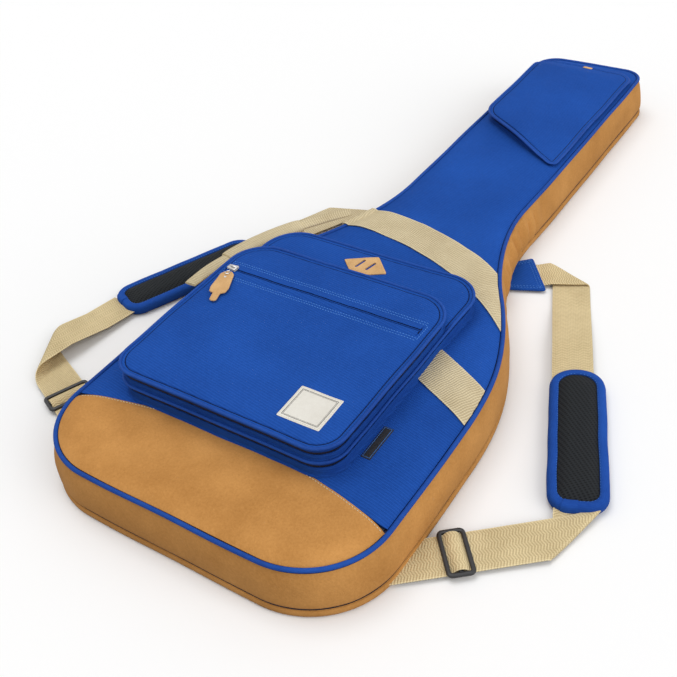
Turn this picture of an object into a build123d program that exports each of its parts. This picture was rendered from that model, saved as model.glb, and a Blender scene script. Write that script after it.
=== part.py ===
"""Padded gig bag for an electric guitar, lying closed on its back.

Millimetres. X runs across the bag, Y from its bottom end to its neck end, Z up from the ground
to its front. The origin is under the bottom end, on the flat back panel's centreline.

The bag is a low tray and a deep lid. The tray is the padded back panel with its edge strip, and
the shoulder straps are sewn into that strip. The lid is the padded side wall, the front panel and
everything sewn on it. The main zip runs round between them, close to the back, and a fabric strip
on the right side is their hinge.
"""

import math
import os

from build123d import *

os.makedirs("parts", exist_ok=True)

# Plan of the bag, measured along the piping of the front panel
LENGTH = 1080.0
BOUT_HALF = 202.0
NECK_HALF = 84.0
SHOULDER_Y = 352.0  # where the straight side of the bout would meet the sloping shoulder
NECK_ROOT_Y = 541.0  # where the sloping shoulder would meet the side of the neck
BOUT_CORNER_R = 90.0
SHOULDER_R = 400.0
NECK_ROOT_R = 345.0
NECK_END_R = 32.0
SLOPE_FLAT = 2.0  # least straight length between the shoulder's two rounds

# Clearances
GAP = 0.3  # between pieces of different bodies, and round soft pieces
SEAM = 0.1  # between pieces sewn or glued to each other

# Tray: back panel, edge strip and zip
BACK_T = 9.0
EDGE_STRIP_T = 6.0
EDGE_OUT = 8.0  # how far the foot of the side wall stands outside the front piping
LINING_T = 1.2
COIL_T = 1.6
COIL_W = 3.0
COIL_INSET = 1.5
HINGE_STRIP_LENGTH = 150.0

# Lid: side wall, front panel and piping
PIPING_Z = 60.0
PIPING_R = 3.0
WALL_T = 8.0
WALL_LEAN = 7.0  # how far the side wall leans in from its foot to the front piping
FRONT_PAD_T = 5.0
FRONT_COVER_T = 8.0
FRONT_COVER_SET = 1.0  # height of the front panel's underside over that of the piping
CROWN_RISE = 4.5  # height of the soft shoulder round the front panel
CROWN_RUN = 12.0
SUEDE_SIDE_Y = 82.0  # the suede panel's seam at the sides of the bag
SUEDE_CROWN = 34.0  # how much higher the seam runs in the middle

# Webbing
WEB_W = 48.0
WEB_T = 2.0
BAND_OVERHANG = 1.0  # how far the bands reach past the piping before they turn under
BAND_LEFT_Y = 519.0
BAND_MID = (25.0, 505.0)
BAND_RIGHT_Y = 392.0
LOWER_BAND_LEFT_Y = 300.0
LOWER_BAND_BEND = (20.0, 355.0)
LOWER_BAND_RIGHT_Y = 268.0

# Carry handle
HANDLE_W = 20.0
HANDLE_T = 6.0
HANDLE_TOP_Y = 527.0
HANDLE_EDGE_R = 2.9  # rounding of the rolled webbing's edges, which turn against the bands
HANDLE_REACH = 28.0  # from the bag's side to the middle of the handle
GRIP_LENGTH = 120.0
GRIP_T = 3.0

# Pockets on the body
POCKET_LEFT = -158.0
POCKET_RIGHT = 128.0
POCKET_BOTTOM = 106.0
LARGE_TOP = 434.0
LARGE_WALL_H = 8.7
LARGE_COVER_H = 9.2
SMALL_TOP = 368.0
SMALL_WALL_H = 6.7
SMALL_COVER_H = 10.2
POCKET_TOP_R = 43.0
POCKET_FOOT_R = 32.0
POCKET_WALL_T = 3.0
POCKET_FACE_T = 3.0
POCKET_PIPING_R = 2.0

# Pocket on the neck
NECK_POCKET_LEFT = -74.0
NECK_POCKET_RIGHT = 76.0
NECK_POCKET_BELOW_END = 28.0  # from the bag's neck end down to the pocket
NECK_POCKET_LEFT_L = 214.0  # length of its left and right sides, down to the slanted edge
NECK_POCKET_RIGHT_L = 310.0
NECK_POCKET_WALL_H = 4.7
NECK_POCKET_COVER_H = 6.5
NECK_POCKET_FOOT_R = 34.0
NECK_POCKET_TOP_R = 24.0

# Zip sliders and their leather pulls
SLIDER_L = 13.0
SLIDER_W = 9.0
SLIDER_T = 4.0
SLIDER_NOSE = 1.5
PULL_NECK_L = 9.0
PULL_NECK_W = 5.0
PULL_L = 36.0
PULL_W = 13.0
PULL_TAIL_L = 13.0
PULL_TAIL_W = 7.0
PULL_T = 2.4
PULL_TIGHT_R = 0.8
PULL_BODY_R = 2.0
PULL_TAIL_R = 3.0
PULL_LAY_DEG = -72.0  # direction in which the face zip's pull lies
MAIN_SLIDER_LOW_Y = 760.0
MAIN_SLIDER_HIGH_Y = 792.0
LARGE_SLIDER_Y = 330.0
SMALL_SLIDER_Y = 306.0
NECK_SLIDER_DOWN = 92.0  # from the top of the neck pocket
NECK_SLIDER_W = 5.6
FACE_ZIP_Y = 306.0
FACE_ZIP_LEFT = -150.0
FACE_ZIP_RIGHT = 116.0
FACE_ZIP_W = 7.0
FACE_ZIP_T = 1.2
FACE_SLIDER_X = -140.0

# Trim
LABEL_T = 0.8
WHITE_LABEL = (50.0, 47.0)
WHITE_LABEL_AT = (76.0, 152.0)
SIDE_LABEL = (11.0, 47.0)
SIDE_LABEL_Y = 176.0
SIDE_LABEL_GAP = 3.0
LASH_TAB = (60.0, 44.0)
LASH_TAB_AT = (-18.0, 405.0)
LASH_SLOT = (18.0, 3.2)
LASH_SLOT_PITCH = 12.0
LASH_SLOT_LEAN = 62.0
LEATHER_T = 2.0
ZIP_END_TAB = (16.0, 24.0)
ZIP_END_TAB_Y = 336.0
NECK_TAB = (14.0, 9.0)
NECK_TAB_R = 2.0
NECK_TAB_X = 3.0

# Shoulder straps
PAD_L = 208.0
PAD_W = 62.0
PAD_T = 16.0
PAD_R = 16.0
BINDING_W = 4.0
PAD_RIGHT_OUT = 85.0  # middle of each pad beyond the bag's widest side
PAD_LEFT_OUT = 84.0
PAD_RIGHT_AT = (BOUT_HALF + PAD_RIGHT_OUT, 331.0)
PAD_RIGHT_DEG = -67.2
PAD_LEFT_AT = (-BOUT_HALF - PAD_LEFT_OUT, 375.0)
PAD_LEFT_DEG = -113.6
STRAP_Z = 3.0
ANCHOR_OUT = 55.5  # beyond the side of the neck end
ANCHOR_AT = (NECK_HALF + ANCHOR_OUT, 592.5)  # middle of the anchor's wide outer edge
ANCHOR_DEG = 32.8
ANCHOR_W = 54.0
ANCHOR_L = 62.0
ANCHOR_TAPER = 4.0
FOLD_TOP_RIGHT_OUT = 94.0  # beyond the side of the neck end
FOLD_TOP_LEFT_OUT = 92.0
FOLD_LOW_RIGHT_OUT = 130.0  # beyond the bag's widest side
FOLD_LOW_LEFT_OUT = 148.0
FOLD_TOP_RIGHT = (NECK_HALF + FOLD_TOP_RIGHT_OUT, 609.0)
FOLD_TOP_LEFT = (-NECK_HALF - FOLD_TOP_LEFT_OUT, 612.0)
FOLD_LOW_RIGHT = (BOUT_HALF + FOLD_LOW_RIGHT_OUT, 196.0)
FOLD_LOW_LEFT = (-BOUT_HALF - FOLD_LOW_LEFT_OUT, 168.0)
LOW_RIGHT_DEG = 215.9
LOW_LEFT_DEG = -31.5
LOW_RUN_RIGHT = 190.0  # from the lower fold to inside the bag's edge
LOW_RUN_LEFT = 185.0
ADJUSTER_RIGHT_ALONG = 106.0  # from the lower fold to the adjuster
ADJUSTER_LEFT_ALONG = 102.0
ADJUSTER_L = 29.0
ADJUSTER_W = 57.0
ADJUSTER_T = 4.0
ADJUSTER_R = 6.0
ADJUSTER_BAR = 5.0
ADJUSTER_LOOP_T = 1.8

# Inside the bag
NECK_REST_BELOW_END = 230.0  # from the bag's neck end down to the middle of the rest
NECK_REST = (112.0, 60.0, 22.0)
NECK_REST_R = 8.0
NECK_GROOVE_R = 34.0
NECK_GROOVE_DEPTH = 12.0
NECK_STRAP_W = 38.0
NECK_STRAP_T = 1.6

# The shoulder's two rounds share the slope between them
slope_turn = math.atan2(BOUT_HALF - NECK_HALF, NECK_ROOT_Y - SHOULDER_Y)
slope_length = math.dist((BOUT_HALF, SHOULDER_Y), (NECK_HALF, NECK_ROOT_Y))
rounds_room = (slope_length - SLOPE_FLAT) / math.tan(slope_turn / 2)
rounds_fit = min(1, rounds_room / (SHOULDER_R + NECK_ROOT_R))
shoulder_r = SHOULDER_R * rounds_fit
neck_root_r = NECK_ROOT_R * rounds_fit

# Levels and margins that follow from the sizes above
COIL_Z = BACK_T + SEAM
LID_COIL_Z = COIL_Z + COIL_T + GAP
WALL_Z = LID_COIL_Z + COIL_T + SEAM
PIPING_BOTTOM = PIPING_Z - PIPING_R
WALL_TOP = PIPING_BOTTOM - SEAM
WALL_H = WALL_TOP - WALL_Z
COVER_Z = PIPING_BOTTOM + FRONT_COVER_SET
COVER_TOP = COVER_Z + FRONT_COVER_T
COVER_MARGIN = -(PIPING_R + GAP)
BAND_Z = COVER_TOP + SEAM
BAND_TOP = BAND_Z + WEB_T
BAND_MARGIN = PIPING_R + BAND_OVERHANG
LARGE_Z = BAND_TOP + SEAM
LARGE_COIL_Z = LARGE_Z + LARGE_WALL_H + SEAM
LARGE_COVER_Z = LARGE_COIL_Z + COIL_T + GAP
LARGE_COVER_TOP = LARGE_COVER_Z + LARGE_COVER_H
SMALL_Z = LARGE_COVER_TOP + SEAM
SMALL_COIL_Z = SMALL_Z + SMALL_WALL_H + SEAM
SMALL_COVER_Z = SMALL_COIL_Z + COIL_T + GAP
SMALL_COVER_TOP = SMALL_COVER_Z + SMALL_COVER_H
NECK_POCKET_Z = COVER_TOP + SEAM
NECK_COIL_Z = NECK_POCKET_Z + NECK_POCKET_WALL_H + SEAM
NECK_COVER_Z = NECK_COIL_Z + COIL_T + GAP
NECK_COVER_TOP = NECK_COVER_Z + NECK_POCKET_COVER_H
POCKET_INSET = POCKET_PIPING_R + GAP
NECK_POCKET_TOP = LENGTH - NECK_POCKET_BELOW_END
NECK_POCKET_LEFT_Y = NECK_POCKET_TOP - NECK_POCKET_LEFT_L
NECK_POCKET_RIGHT_Y = NECK_POCKET_TOP - NECK_POCKET_RIGHT_L
NECK_SLIDER_Y = NECK_POCKET_TOP - NECK_SLIDER_DOWN
NECK_REST_Y = LENGTH - NECK_REST_BELOW_END
FLOOR_Z = BACK_T + SEAM + LINING_T  # the padded floor that the guitar lies on
STRAP_TOP = STRAP_Z + WEB_T
FOLDED_Z = STRAP_TOP


def bag_outline(margin):
    """Plan outline of the bag, grown outwards by margin."""
    with BuildSketch() as sketch:
        with BuildLine():
            right_half = FilletPolyline(
                (0, 0),
                (BOUT_HALF, 0),
                (BOUT_HALF, SHOULDER_Y),
                (NECK_HALF, NECK_ROOT_Y),
                (NECK_HALF, LENGTH),
                (0, LENGTH),
                radius=(BOUT_CORNER_R, shoulder_r, neck_root_r, NECK_END_R),
            )
            mirror(right_half, about=Plane.YZ)
        make_face()
        offset(amount=margin)
    return sketch.sketch


def half_width(y, margin):
    """Half the bag's width at y, measured to its outline grown by margin."""
    with BuildSketch() as slice_at:
        add(bag_outline(margin))
        with Locations((0, y)):
            Rectangle(4 * BOUT_HALF, SEAM, mode=Mode.INTERSECT)
    return slice_at.sketch.bounding_box().max.X


def pocket_outline(top, margin):
    """Plan outline of a body pocket whose upper edge is at top, grown outwards by margin."""
    with BuildSketch() as sketch:
        with BuildLine():
            FilletPolyline(
                (POCKET_LEFT, POCKET_BOTTOM),
                (POCKET_RIGHT, POCKET_BOTTOM),
                (POCKET_RIGHT, top),
                (POCKET_LEFT, top),
                radius=(POCKET_FOOT_R, POCKET_FOOT_R, POCKET_TOP_R, POCKET_TOP_R),
                close=True,
            )
        make_face()
        offset(amount=margin)
    return sketch.sketch


def neck_pocket_outline(margin):
    """Plan outline of the neck pocket with its slanted lower edge, grown outwards by margin."""
    with BuildSketch() as sketch:
        with BuildLine():
            FilletPolyline(
                (NECK_POCKET_LEFT, NECK_POCKET_LEFT_Y),
                (NECK_POCKET_RIGHT, NECK_POCKET_RIGHT_Y),
                (NECK_POCKET_RIGHT, NECK_POCKET_TOP),
                (NECK_POCKET_LEFT, NECK_POCKET_TOP),
                radius=(NECK_POCKET_FOOT_R, POCKET_PIPING_R, NECK_POCKET_TOP_R, NECK_POCKET_TOP_R),
                close=True,
            )
        make_face()
        offset(amount=margin)
    return sketch.sketch


def slab_at(center, angle, length, width):
    """Rectangle in plan, its length along angle, centred on a point."""
    with BuildSketch() as sketch:
        with Locations(Location((center[0], center[1], 0), (0, 0, angle))):
            Rectangle(length, width)
    return sketch.sketch


def run_between(start, end, overrun, width=WEB_W):
    """Plan of a straight run of webbing from start to end, with overrun beyond both."""
    length = math.dist(start, end) + 2 * overrun
    angle = math.degrees(math.atan2(end[1] - start[1], end[0] - start[0]))
    middle = ((start[0] + end[0]) / 2, (start[1] + end[1]) / 2)
    return slab_at(middle, angle, length, width)


def along(start, angle, distance):
    """Point at a distance from start, in a direction in plan."""
    turn = math.radians(angle)
    return (start[0] + distance * math.cos(turn), start[1] + distance * math.sin(turn))


def anchor_plan(margin):
    """The right strap anchor: a tab that widens from the bag's edge to the webbing."""
    half = ANCHOR_W / 2
    with BuildSketch() as sketch:
        with Locations(Location((ANCHOR_AT[0], ANCHOR_AT[1], 0), (0, 0, ANCHOR_DEG))):
            Polygon(
                (0, -half),
                (0, half),
                (-ANCHOR_L, half - ANCHOR_TAPER),
                (-ANCHOR_L, ANCHOR_TAPER - half),
                align=None,
            )
        offset(amount=margin)
    return sketch.sketch


def pull_plan():
    """Leather pull in its own plane: its pin line is the Y axis, and it points along +X."""
    body_end = PULL_NECK_L + PULL_L
    half_radii = (PULL_TIGHT_R, PULL_TIGHT_R, PULL_BODY_R, PULL_BODY_R, PULL_TIGHT_R, PULL_TAIL_R)
    with BuildSketch() as sketch:
        with BuildLine():
            FilletPolyline(
                (0, PULL_NECK_W / 2),
                (PULL_NECK_L, PULL_NECK_W / 2),
                (PULL_NECK_L, PULL_W / 2),
                (body_end, PULL_W / 2),
                (body_end, PULL_TAIL_W / 2),
                (body_end + PULL_TAIL_L, PULL_TAIL_W / 2),
                (body_end + PULL_TAIL_L, -PULL_TAIL_W / 2),
                (body_end, -PULL_TAIL_W / 2),
                (body_end, -PULL_W / 2),
                (PULL_NECK_L, -PULL_W / 2),
                (PULL_NECK_L, -PULL_NECK_W / 2),
                (0, -PULL_NECK_W / 2),
                radius=half_radii + half_radii[::-1],
                close=True,
            )
        make_face()
    return sketch.sketch


def finish(part, name):
    """Names a finished piece and writes it."""
    part.label = name
    export_step(part, f"parts/{name}.step")


def piping_round(plan, level, radius, name):
    """Cord piping round a plan outline, its middle at level."""
    edges = plan.edges()
    start = edges.sort_by(SortBy.LENGTH)[-1]
    with BuildPart() as piping:
        with BuildLine(Plane.XY.offset(level)) as path:
            add(edges)
        section = Plane(origin=start @ 0.5 + Vector(0, 0, level), z_dir=start % 0.5)
        with BuildSketch(section):
            Circle(radius)
        sweep(path=path.line)
    finish(piping.part, name)


# ---------------------------------------------------------------- tray
coil_outer = EDGE_OUT - COIL_INSET
coil_inner = coil_outer - COIL_W
strip_inner = EDGE_OUT - EDGE_STRIP_T
strap_low_right_end = along(FOLD_LOW_RIGHT, LOW_RIGHT_DEG, LOW_RUN_RIGHT)
strap_low_left_end = along(FOLD_LOW_LEFT, LOW_LEFT_DEG, LOW_RUN_LEFT)

with BuildPart() as back_panel:
    with BuildSketch():
        add(bag_outline(strip_inner - SEAM))
    extrude(amount=BACK_T)
finish(back_panel.part, "back_panel")

with BuildPart() as back_lining:
    with BuildSketch(Plane.XY.offset(BACK_T + SEAM)):
        add(bag_outline(EDGE_OUT - WALL_T - GAP - LINING_T))
    extrude(amount=LINING_T)
finish(back_lining.part, "back_lining")

with BuildPart() as back_edge_strip:
    with BuildSketch():
        add(bag_outline(EDGE_OUT))
        add(bag_outline(strip_inner), mode=Mode.SUBTRACT)
    extrude(amount=BACK_T)
    # the straps pass into the strip through sewn slots
    with BuildSketch(Plane.XY.offset(STRAP_Z - GAP)):
        add(anchor_plan(GAP))
        mirror(anchor_plan(GAP), about=Plane.YZ)
        add(run_between(FOLD_LOW_RIGHT, strap_low_right_end, 0, WEB_W + 2 * GAP))
        add(run_between(FOLD_LOW_LEFT, strap_low_left_end, 0, WEB_W + 2 * GAP))
    extrude(amount=WEB_T + 2 * GAP, mode=Mode.SUBTRACT)
finish(back_edge_strip.part, "back_edge_strip")

hinge_mid_y = SHOULDER_Y - HINGE_STRIP_LENGTH / 2

with BuildPart() as main_zip_back:
    with BuildSketch(Plane.XY.offset(COIL_Z)):
        add(bag_outline(coil_outer))
        add(bag_outline(coil_inner), mode=Mode.SUBTRACT)
        with Locations((BOUT_HALF, hinge_mid_y)):
            Rectangle(BOUT_HALF, HINGE_STRIP_LENGTH, mode=Mode.SUBTRACT)
    extrude(amount=COIL_T)
finish(main_zip_back.part, "main_zip_back")

with BuildPart() as hinge_strip:
    with BuildSketch(Plane.XY.offset(COIL_Z)):
        add(bag_outline(coil_outer))
        add(bag_outline(coil_inner), mode=Mode.SUBTRACT)
        with Locations((BOUT_HALF, hinge_mid_y)):
            Rectangle(BOUT_HALF, HINGE_STRIP_LENGTH - 2 * GAP, mode=Mode.INTERSECT)
    extrude(amount=COIL_T)
finish(hinge_strip.part, "hinge_strip")

# ---------------------------------------------------------------- inside, on the back panel
rest_w, rest_l, rest_h = NECK_REST
with BuildPart() as neck_rest:
    with BuildSketch(Plane.XY.offset(FLOOR_Z + SEAM)):
        with Locations((0, NECK_REST_Y)):
            RectangleRounded(rest_w, rest_l, NECK_REST_R)
    extrude(amount=rest_h)
    groove_z = FLOOR_Z + SEAM + rest_h - NECK_GROOVE_DEPTH + NECK_GROOVE_R
    with BuildSketch(Plane.XZ.offset(-NECK_REST_Y - rest_l)):
        with Locations((0, groove_z)):
            Circle(NECK_GROOVE_R)
    extrude(amount=2 * rest_l, mode=Mode.SUBTRACT)
finish(neck_rest.part, "neck_rest")

with BuildPart() as neck_strap:
    strap_inner_w = rest_w + 2 * GAP
    strap_inner_top = FLOOR_Z + SEAM + rest_h + GAP
    with BuildSketch(Plane.XZ.offset(-NECK_REST_Y - NECK_STRAP_W / 2)):
        with Locations((0, FLOOR_Z + SEAM)):
            Rectangle(
                strap_inner_w + 2 * NECK_STRAP_T,
                rest_h + GAP + NECK_STRAP_T,
                align=(Align.CENTER, Align.MIN),
            )
            Rectangle(
                strap_inner_w, rest_h + GAP, align=(Align.CENTER, Align.MIN), mode=Mode.SUBTRACT
            )
    extrude(amount=NECK_STRAP_W)
finish(neck_strap.part, "neck_strap")

# ---------------------------------------------------------------- shoulder straps
inside_edge = bag_outline(strip_inner + GAP)

for side, name in ((1, "right"), (-1, "left")):
    with BuildPart() as strap_anchor:
        with BuildSketch(Plane.XY.offset(STRAP_Z)):
            if side > 0:
                add(anchor_plan(0))
            else:
                mirror(anchor_plan(0), about=Plane.YZ)
            add(inside_edge, mode=Mode.SUBTRACT)
        extrude(amount=WEB_T)
    finish(strap_anchor.part, f"strap_anchor_{name}")

    pad_at = PAD_RIGHT_AT if side > 0 else PAD_LEFT_AT
    pad_deg = PAD_RIGHT_DEG if side > 0 else PAD_LEFT_DEG
    fold_top = FOLD_TOP_RIGHT if side > 0 else FOLD_TOP_LEFT
    fold_low = FOLD_LOW_RIGHT if side > 0 else FOLD_LOW_LEFT
    low_end = strap_low_right_end if side > 0 else strap_low_left_end
    pad_top = along(pad_at, pad_deg, -PAD_L / 2 + BINDING_W)
    pad_foot = along(pad_at, pad_deg, PAD_L / 2 - BINDING_W)
    pad_room = slab_at(pad_at, pad_deg, PAD_L + 2 * GAP, PAD_W + 2 * GAP)
    anchor_mid = (side * ANCHOR_AT[0], ANCHOR_AT[1])

    with BuildPart() as shoulder_pad:
        with BuildSketch():
            with Locations(Location((pad_at[0], pad_at[1], 0), (0, 0, pad_deg))):
                RectangleRounded(PAD_L - 2 * BINDING_W, PAD_W - 2 * BINDING_W, PAD_R - BINDING_W)
        extrude(amount=PAD_T)
    finish(shoulder_pad.part, f"shoulder_pad_{name}")

    with BuildPart() as pad_binding:
        with BuildSketch():
            with Locations(Location((pad_at[0], pad_at[1], 0), (0, 0, pad_deg))):
                RectangleRounded(PAD_L, PAD_W, PAD_R)
                RectangleRounded(
                    PAD_L - 2 * BINDING_W + 2 * SEAM,
                    PAD_W - 2 * BINDING_W + 2 * SEAM,
                    PAD_R - BINDING_W + SEAM,
                    mode=Mode.SUBTRACT,
                )
        extrude(amount=PAD_T)
        top_edges = pad_binding.faces().sort_by(Axis.Z)[-1].outer_wire().edges()
        fillet(top_edges, BINDING_W / 2)
    finish(pad_binding.part, f"pad_binding_{name}")

    with BuildPart() as strap_upper:
        # the webbing leaves its anchor, turns over on itself and runs down to the pad
        with BuildSketch(Plane.XY.offset(STRAP_TOP)):
            anchor_deg = ANCHOR_DEG if side > 0 else 180 - ANCHOR_DEG
            add(run_between(along(anchor_mid, anchor_deg, -WEB_W / 4), fold_top, 0))
        extrude(amount=WEB_T)
        with BuildSketch(Plane.XY.offset(STRAP_TOP + WEB_T)):
            overrun_top = along(fold_top, pad_deg, -WEB_W / 4)
            add(run_between(overrun_top, pad_top, 0))
            add(pad_room, mode=Mode.SUBTRACT)
        extrude(amount=WEB_T)
    finish(strap_upper.part, f"shoulder_strap_upper_{name}")

    with BuildPart() as strap_lower:
        # from the pad to the fold, and under the fold along the ground into the bag's edge
        with BuildSketch(Plane.XY.offset(STRAP_Z)):
            add(run_between(fold_low, low_end, 0))
            add(inside_edge, mode=Mode.SUBTRACT)
        extrude(amount=WEB_T)
        with BuildSketch(Plane.XY.offset(FOLDED_Z)):
            fold_mid = along(fold_low, LOW_RIGHT_DEG if side > 0 else LOW_LEFT_DEG, WEB_W / 3)
            add(run_between(pad_foot, fold_mid, 0))
            add(pad_room, mode=Mode.SUBTRACT)
        extrude(amount=WEB_T)
    finish(strap_lower.part, f"shoulder_strap_lower_{name}")

    low_deg = LOW_RIGHT_DEG if side > 0 else LOW_LEFT_DEG
    adjuster_along = ADJUSTER_RIGHT_ALONG if side > 0 else ADJUSTER_LEFT_ALONG
    adjuster_at = along(fold_low, low_deg, adjuster_along)
    adjuster_place = Location((adjuster_at[0], adjuster_at[1], 0), (0, 0, low_deg))
    window_l = (ADJUSTER_L - 3 * ADJUSTER_BAR) / 2
    window_w = ADJUSTER_W - 2 * ADJUSTER_BAR

    with BuildPart() as adjuster:
        with BuildSketch(Plane.XY.offset(STRAP_TOP + GAP)):
            with Locations(adjuster_place):
                RectangleRounded(ADJUSTER_L, ADJUSTER_W, ADJUSTER_R)
                with GridLocations(window_l + ADJUSTER_BAR, 0, 2, 1):
                    Rectangle(window_l, window_w, mode=Mode.SUBTRACT)
        extrude(amount=ADJUSTER_T)
    finish(adjuster.part, f"strap_adjuster_{name}")

    with BuildPart() as adjuster_loop:
        # the strap's end, brought up through one window, over the bar and down the other
        loop_inner = ADJUSTER_BAR + 2 * GAP
        with BuildSketch(Plane.XY.offset(STRAP_TOP + GAP)):
            with Locations(adjuster_place):
                Rectangle(loop_inner + 2 * ADJUSTER_LOOP_T, window_w - 2 * GAP)
        extrude(amount=ADJUSTER_T + GAP + ADJUSTER_LOOP_T)
        with BuildSketch(Plane.XY.offset(STRAP_TOP + GAP)):
            with Locations(adjuster_place):
                Rectangle(loop_inner, WEB_W)
        extrude(amount=ADJUSTER_T + GAP, mode=Mode.SUBTRACT)
    finish(adjuster_loop.part, f"adjuster_loop_{name}")

# ---------------------------------------------------------------- lid: wall, front and piping
lean_deg = math.degrees(math.atan2(WALL_LEAN, WALL_H))

with BuildPart() as main_zip_front:
    with BuildSketch(Plane.XY.offset(LID_COIL_Z)):
        add(bag_outline(coil_outer))
        add(bag_outline(coil_inner), mode=Mode.SUBTRACT)
    extrude(amount=COIL_T)
finish(main_zip_front.part, "main_zip_front")

with BuildPart() as side_wall:
    with BuildSketch(Plane.XY.offset(WALL_Z)):
        add(bag_outline(EDGE_OUT))
    extrude(amount=WALL_H, taper=lean_deg)
    with BuildSketch(Plane.XY.offset(WALL_Z)):
        add(bag_outline(EDGE_OUT - WALL_T))
    extrude(amount=WALL_H, taper=lean_deg, mode=Mode.SUBTRACT)
finish(side_wall.part, "side_wall")

with BuildPart() as front_padding:
    padding_margin = EDGE_OUT - WALL_T - WALL_LEAN - GAP
    with BuildSketch(Plane.XY.offset(COVER_Z - SEAM - FRONT_PAD_T)):
        add(bag_outline(padding_margin))
    extrude(amount=FRONT_PAD_T)
finish(front_padding.part, "front_padding")

seam_reach = BOUT_HALF + EDGE_OUT
crown_deg = math.degrees(math.atan2(CROWN_RUN, CROWN_RISE))


def below_seam():
    """Plan of everything below the curved seam across the front."""
    with BuildSketch() as sketch:
        with BuildLine():
            ThreePointArc(
                (-seam_reach, SUEDE_SIDE_Y),
                (0, SUEDE_SIDE_Y + SUEDE_CROWN),
                (seam_reach, SUEDE_SIDE_Y),
            )
            Polyline(
                (seam_reach, SUEDE_SIDE_Y),
                (seam_reach, -EDGE_OUT),
                (-seam_reach, -EDGE_OUT),
                (-seam_reach, SUEDE_SIDE_Y),
            )
        make_face()
    return sketch.sketch


for name, cut in (("front_panel", Mode.SUBTRACT), ("suede_panel", Mode.INTERSECT)):
    with BuildPart() as cover:
        with BuildSketch(Plane.XY.offset(COVER_Z)):
            add(bag_outline(COVER_MARGIN))
        extrude(amount=FRONT_COVER_T - CROWN_RISE)
        with BuildSketch(Plane.XY.offset(COVER_TOP - CROWN_RISE)):
            add(bag_outline(COVER_MARGIN))
        extrude(amount=CROWN_RISE, taper=crown_deg)
        with BuildSketch(Plane.XY.offset(COVER_Z)):
            add(below_seam())
        extrude(amount=FRONT_COVER_T, mode=cut)
    finish(cover.part, name)

piping_round(bag_outline(0), PIPING_Z, PIPING_R, "front_piping")

# ---------------------------------------------------------------- webbing bands on the front
with BuildPart() as upper_band:
    with BuildLine() as band_arc:
        ThreePointArc((-BOUT_HALF, BAND_LEFT_Y), BAND_MID, (BOUT_HALF, BAND_RIGHT_Y))
    with BuildSketch(Plane.XY.offset(BAND_Z)):
        SlotArc(band_arc.edges()[0], WEB_W)
        add(bag_outline(BAND_MARGIN), mode=Mode.INTERSECT)
    extrude(amount=WEB_T)
finish(upper_band.part, "upper_band")

with BuildPart() as lower_band:
    with BuildSketch(Plane.XY.offset(BAND_Z)):
        band_left = (-BOUT_HALF - WEB_W, LOWER_BAND_LEFT_Y)
        band_right = (BOUT_HALF + WEB_W / 2, LOWER_BAND_RIGHT_Y - WEB_W / 4)
        add(run_between(band_left, LOWER_BAND_BEND, 0))
        add(run_between(LOWER_BAND_BEND, band_right, 0))
        with Locations(LOWER_BAND_BEND):
            Circle(WEB_W / 2)
        add(bag_outline(BAND_MARGIN), mode=Mode.INTERSECT)
    extrude(amount=WEB_T)
finish(lower_band.part, "lower_band")

# ---------------------------------------------------------------- carry handle at the left side
handle_z = PIPING_Z + PIPING_R + 2 * GAP
handle_margin = BAND_MARGIN + GAP + HANDLE_W / 2
handle_top = (-half_width(HANDLE_TOP_Y, handle_margin), HANDLE_TOP_Y)
handle_foot = (-half_width(LOWER_BAND_LEFT_Y, handle_margin), LOWER_BAND_LEFT_Y)
chord_mid = ((handle_top[0] + handle_foot[0]) / 2, (handle_top[1] + handle_foot[1]) / 2)
chord_deg = math.degrees(math.atan2(handle_top[1] - handle_foot[1], handle_top[0] - handle_foot[0]))
handle_mid = along(chord_mid, chord_deg + 90, HANDLE_REACH)

with BuildPart() as carry_handle:
    with BuildLine() as handle_arc:
        ThreePointArc(handle_top, handle_mid, handle_foot)
    with BuildSketch(Plane.XY.offset(handle_z)):
        SlotArc(handle_arc.edges()[0], HANDLE_W)
    extrude(amount=HANDLE_T)
    fillet(carry_handle.edges().filter_by(GeomType.LINE, reverse=True), HANDLE_EDGE_R)
finish(carry_handle.part, "carry_handle")

with BuildPart() as handle_grip:
    with BuildSketch(Plane.XY.offset(handle_z - GRIP_T - SEAM)):
        SlotArc(handle_arc.edges()[0], HANDLE_W + 2 * GRIP_T)
        add(slab_at(handle_mid, chord_deg, GRIP_LENGTH, 4 * HANDLE_W), mode=Mode.INTERSECT)
    extrude(amount=HANDLE_T + 2 * GRIP_T + 2 * SEAM)
    with BuildSketch(Plane.XY.offset(handle_z - SEAM)):
        SlotArc(handle_arc.edges()[0], HANDLE_W + 2 * SEAM)
    extrude(amount=HANDLE_T + 2 * SEAM, mode=Mode.SUBTRACT)
finish(handle_grip.part, "handle_grip")

# ---------------------------------------------------------------- pockets
def pocket_wall(outline, bottom, height, name):
    """Upright fabric wall of a pocket, from the panel up to its zip."""
    with BuildPart() as wall:
        with BuildSketch(Plane.XY.offset(bottom)):
            add(outline(-POCKET_INSET))
            add(outline(-POCKET_INSET - POCKET_WALL_T), mode=Mode.SUBTRACT)
        extrude(amount=height)
    finish(wall.part, name)


def pocket_coil(outline, bottom, name):
    """Zip round a pocket, set back a little from its wall."""
    with BuildPart() as coil:
        with BuildSketch(Plane.XY.offset(bottom)):
            add(outline(-POCKET_INSET - SEAM))
            add(outline(-POCKET_INSET - POCKET_WALL_T + SEAM), mode=Mode.SUBTRACT)
        extrude(amount=COIL_T)
    finish(coil.part, name)


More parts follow.
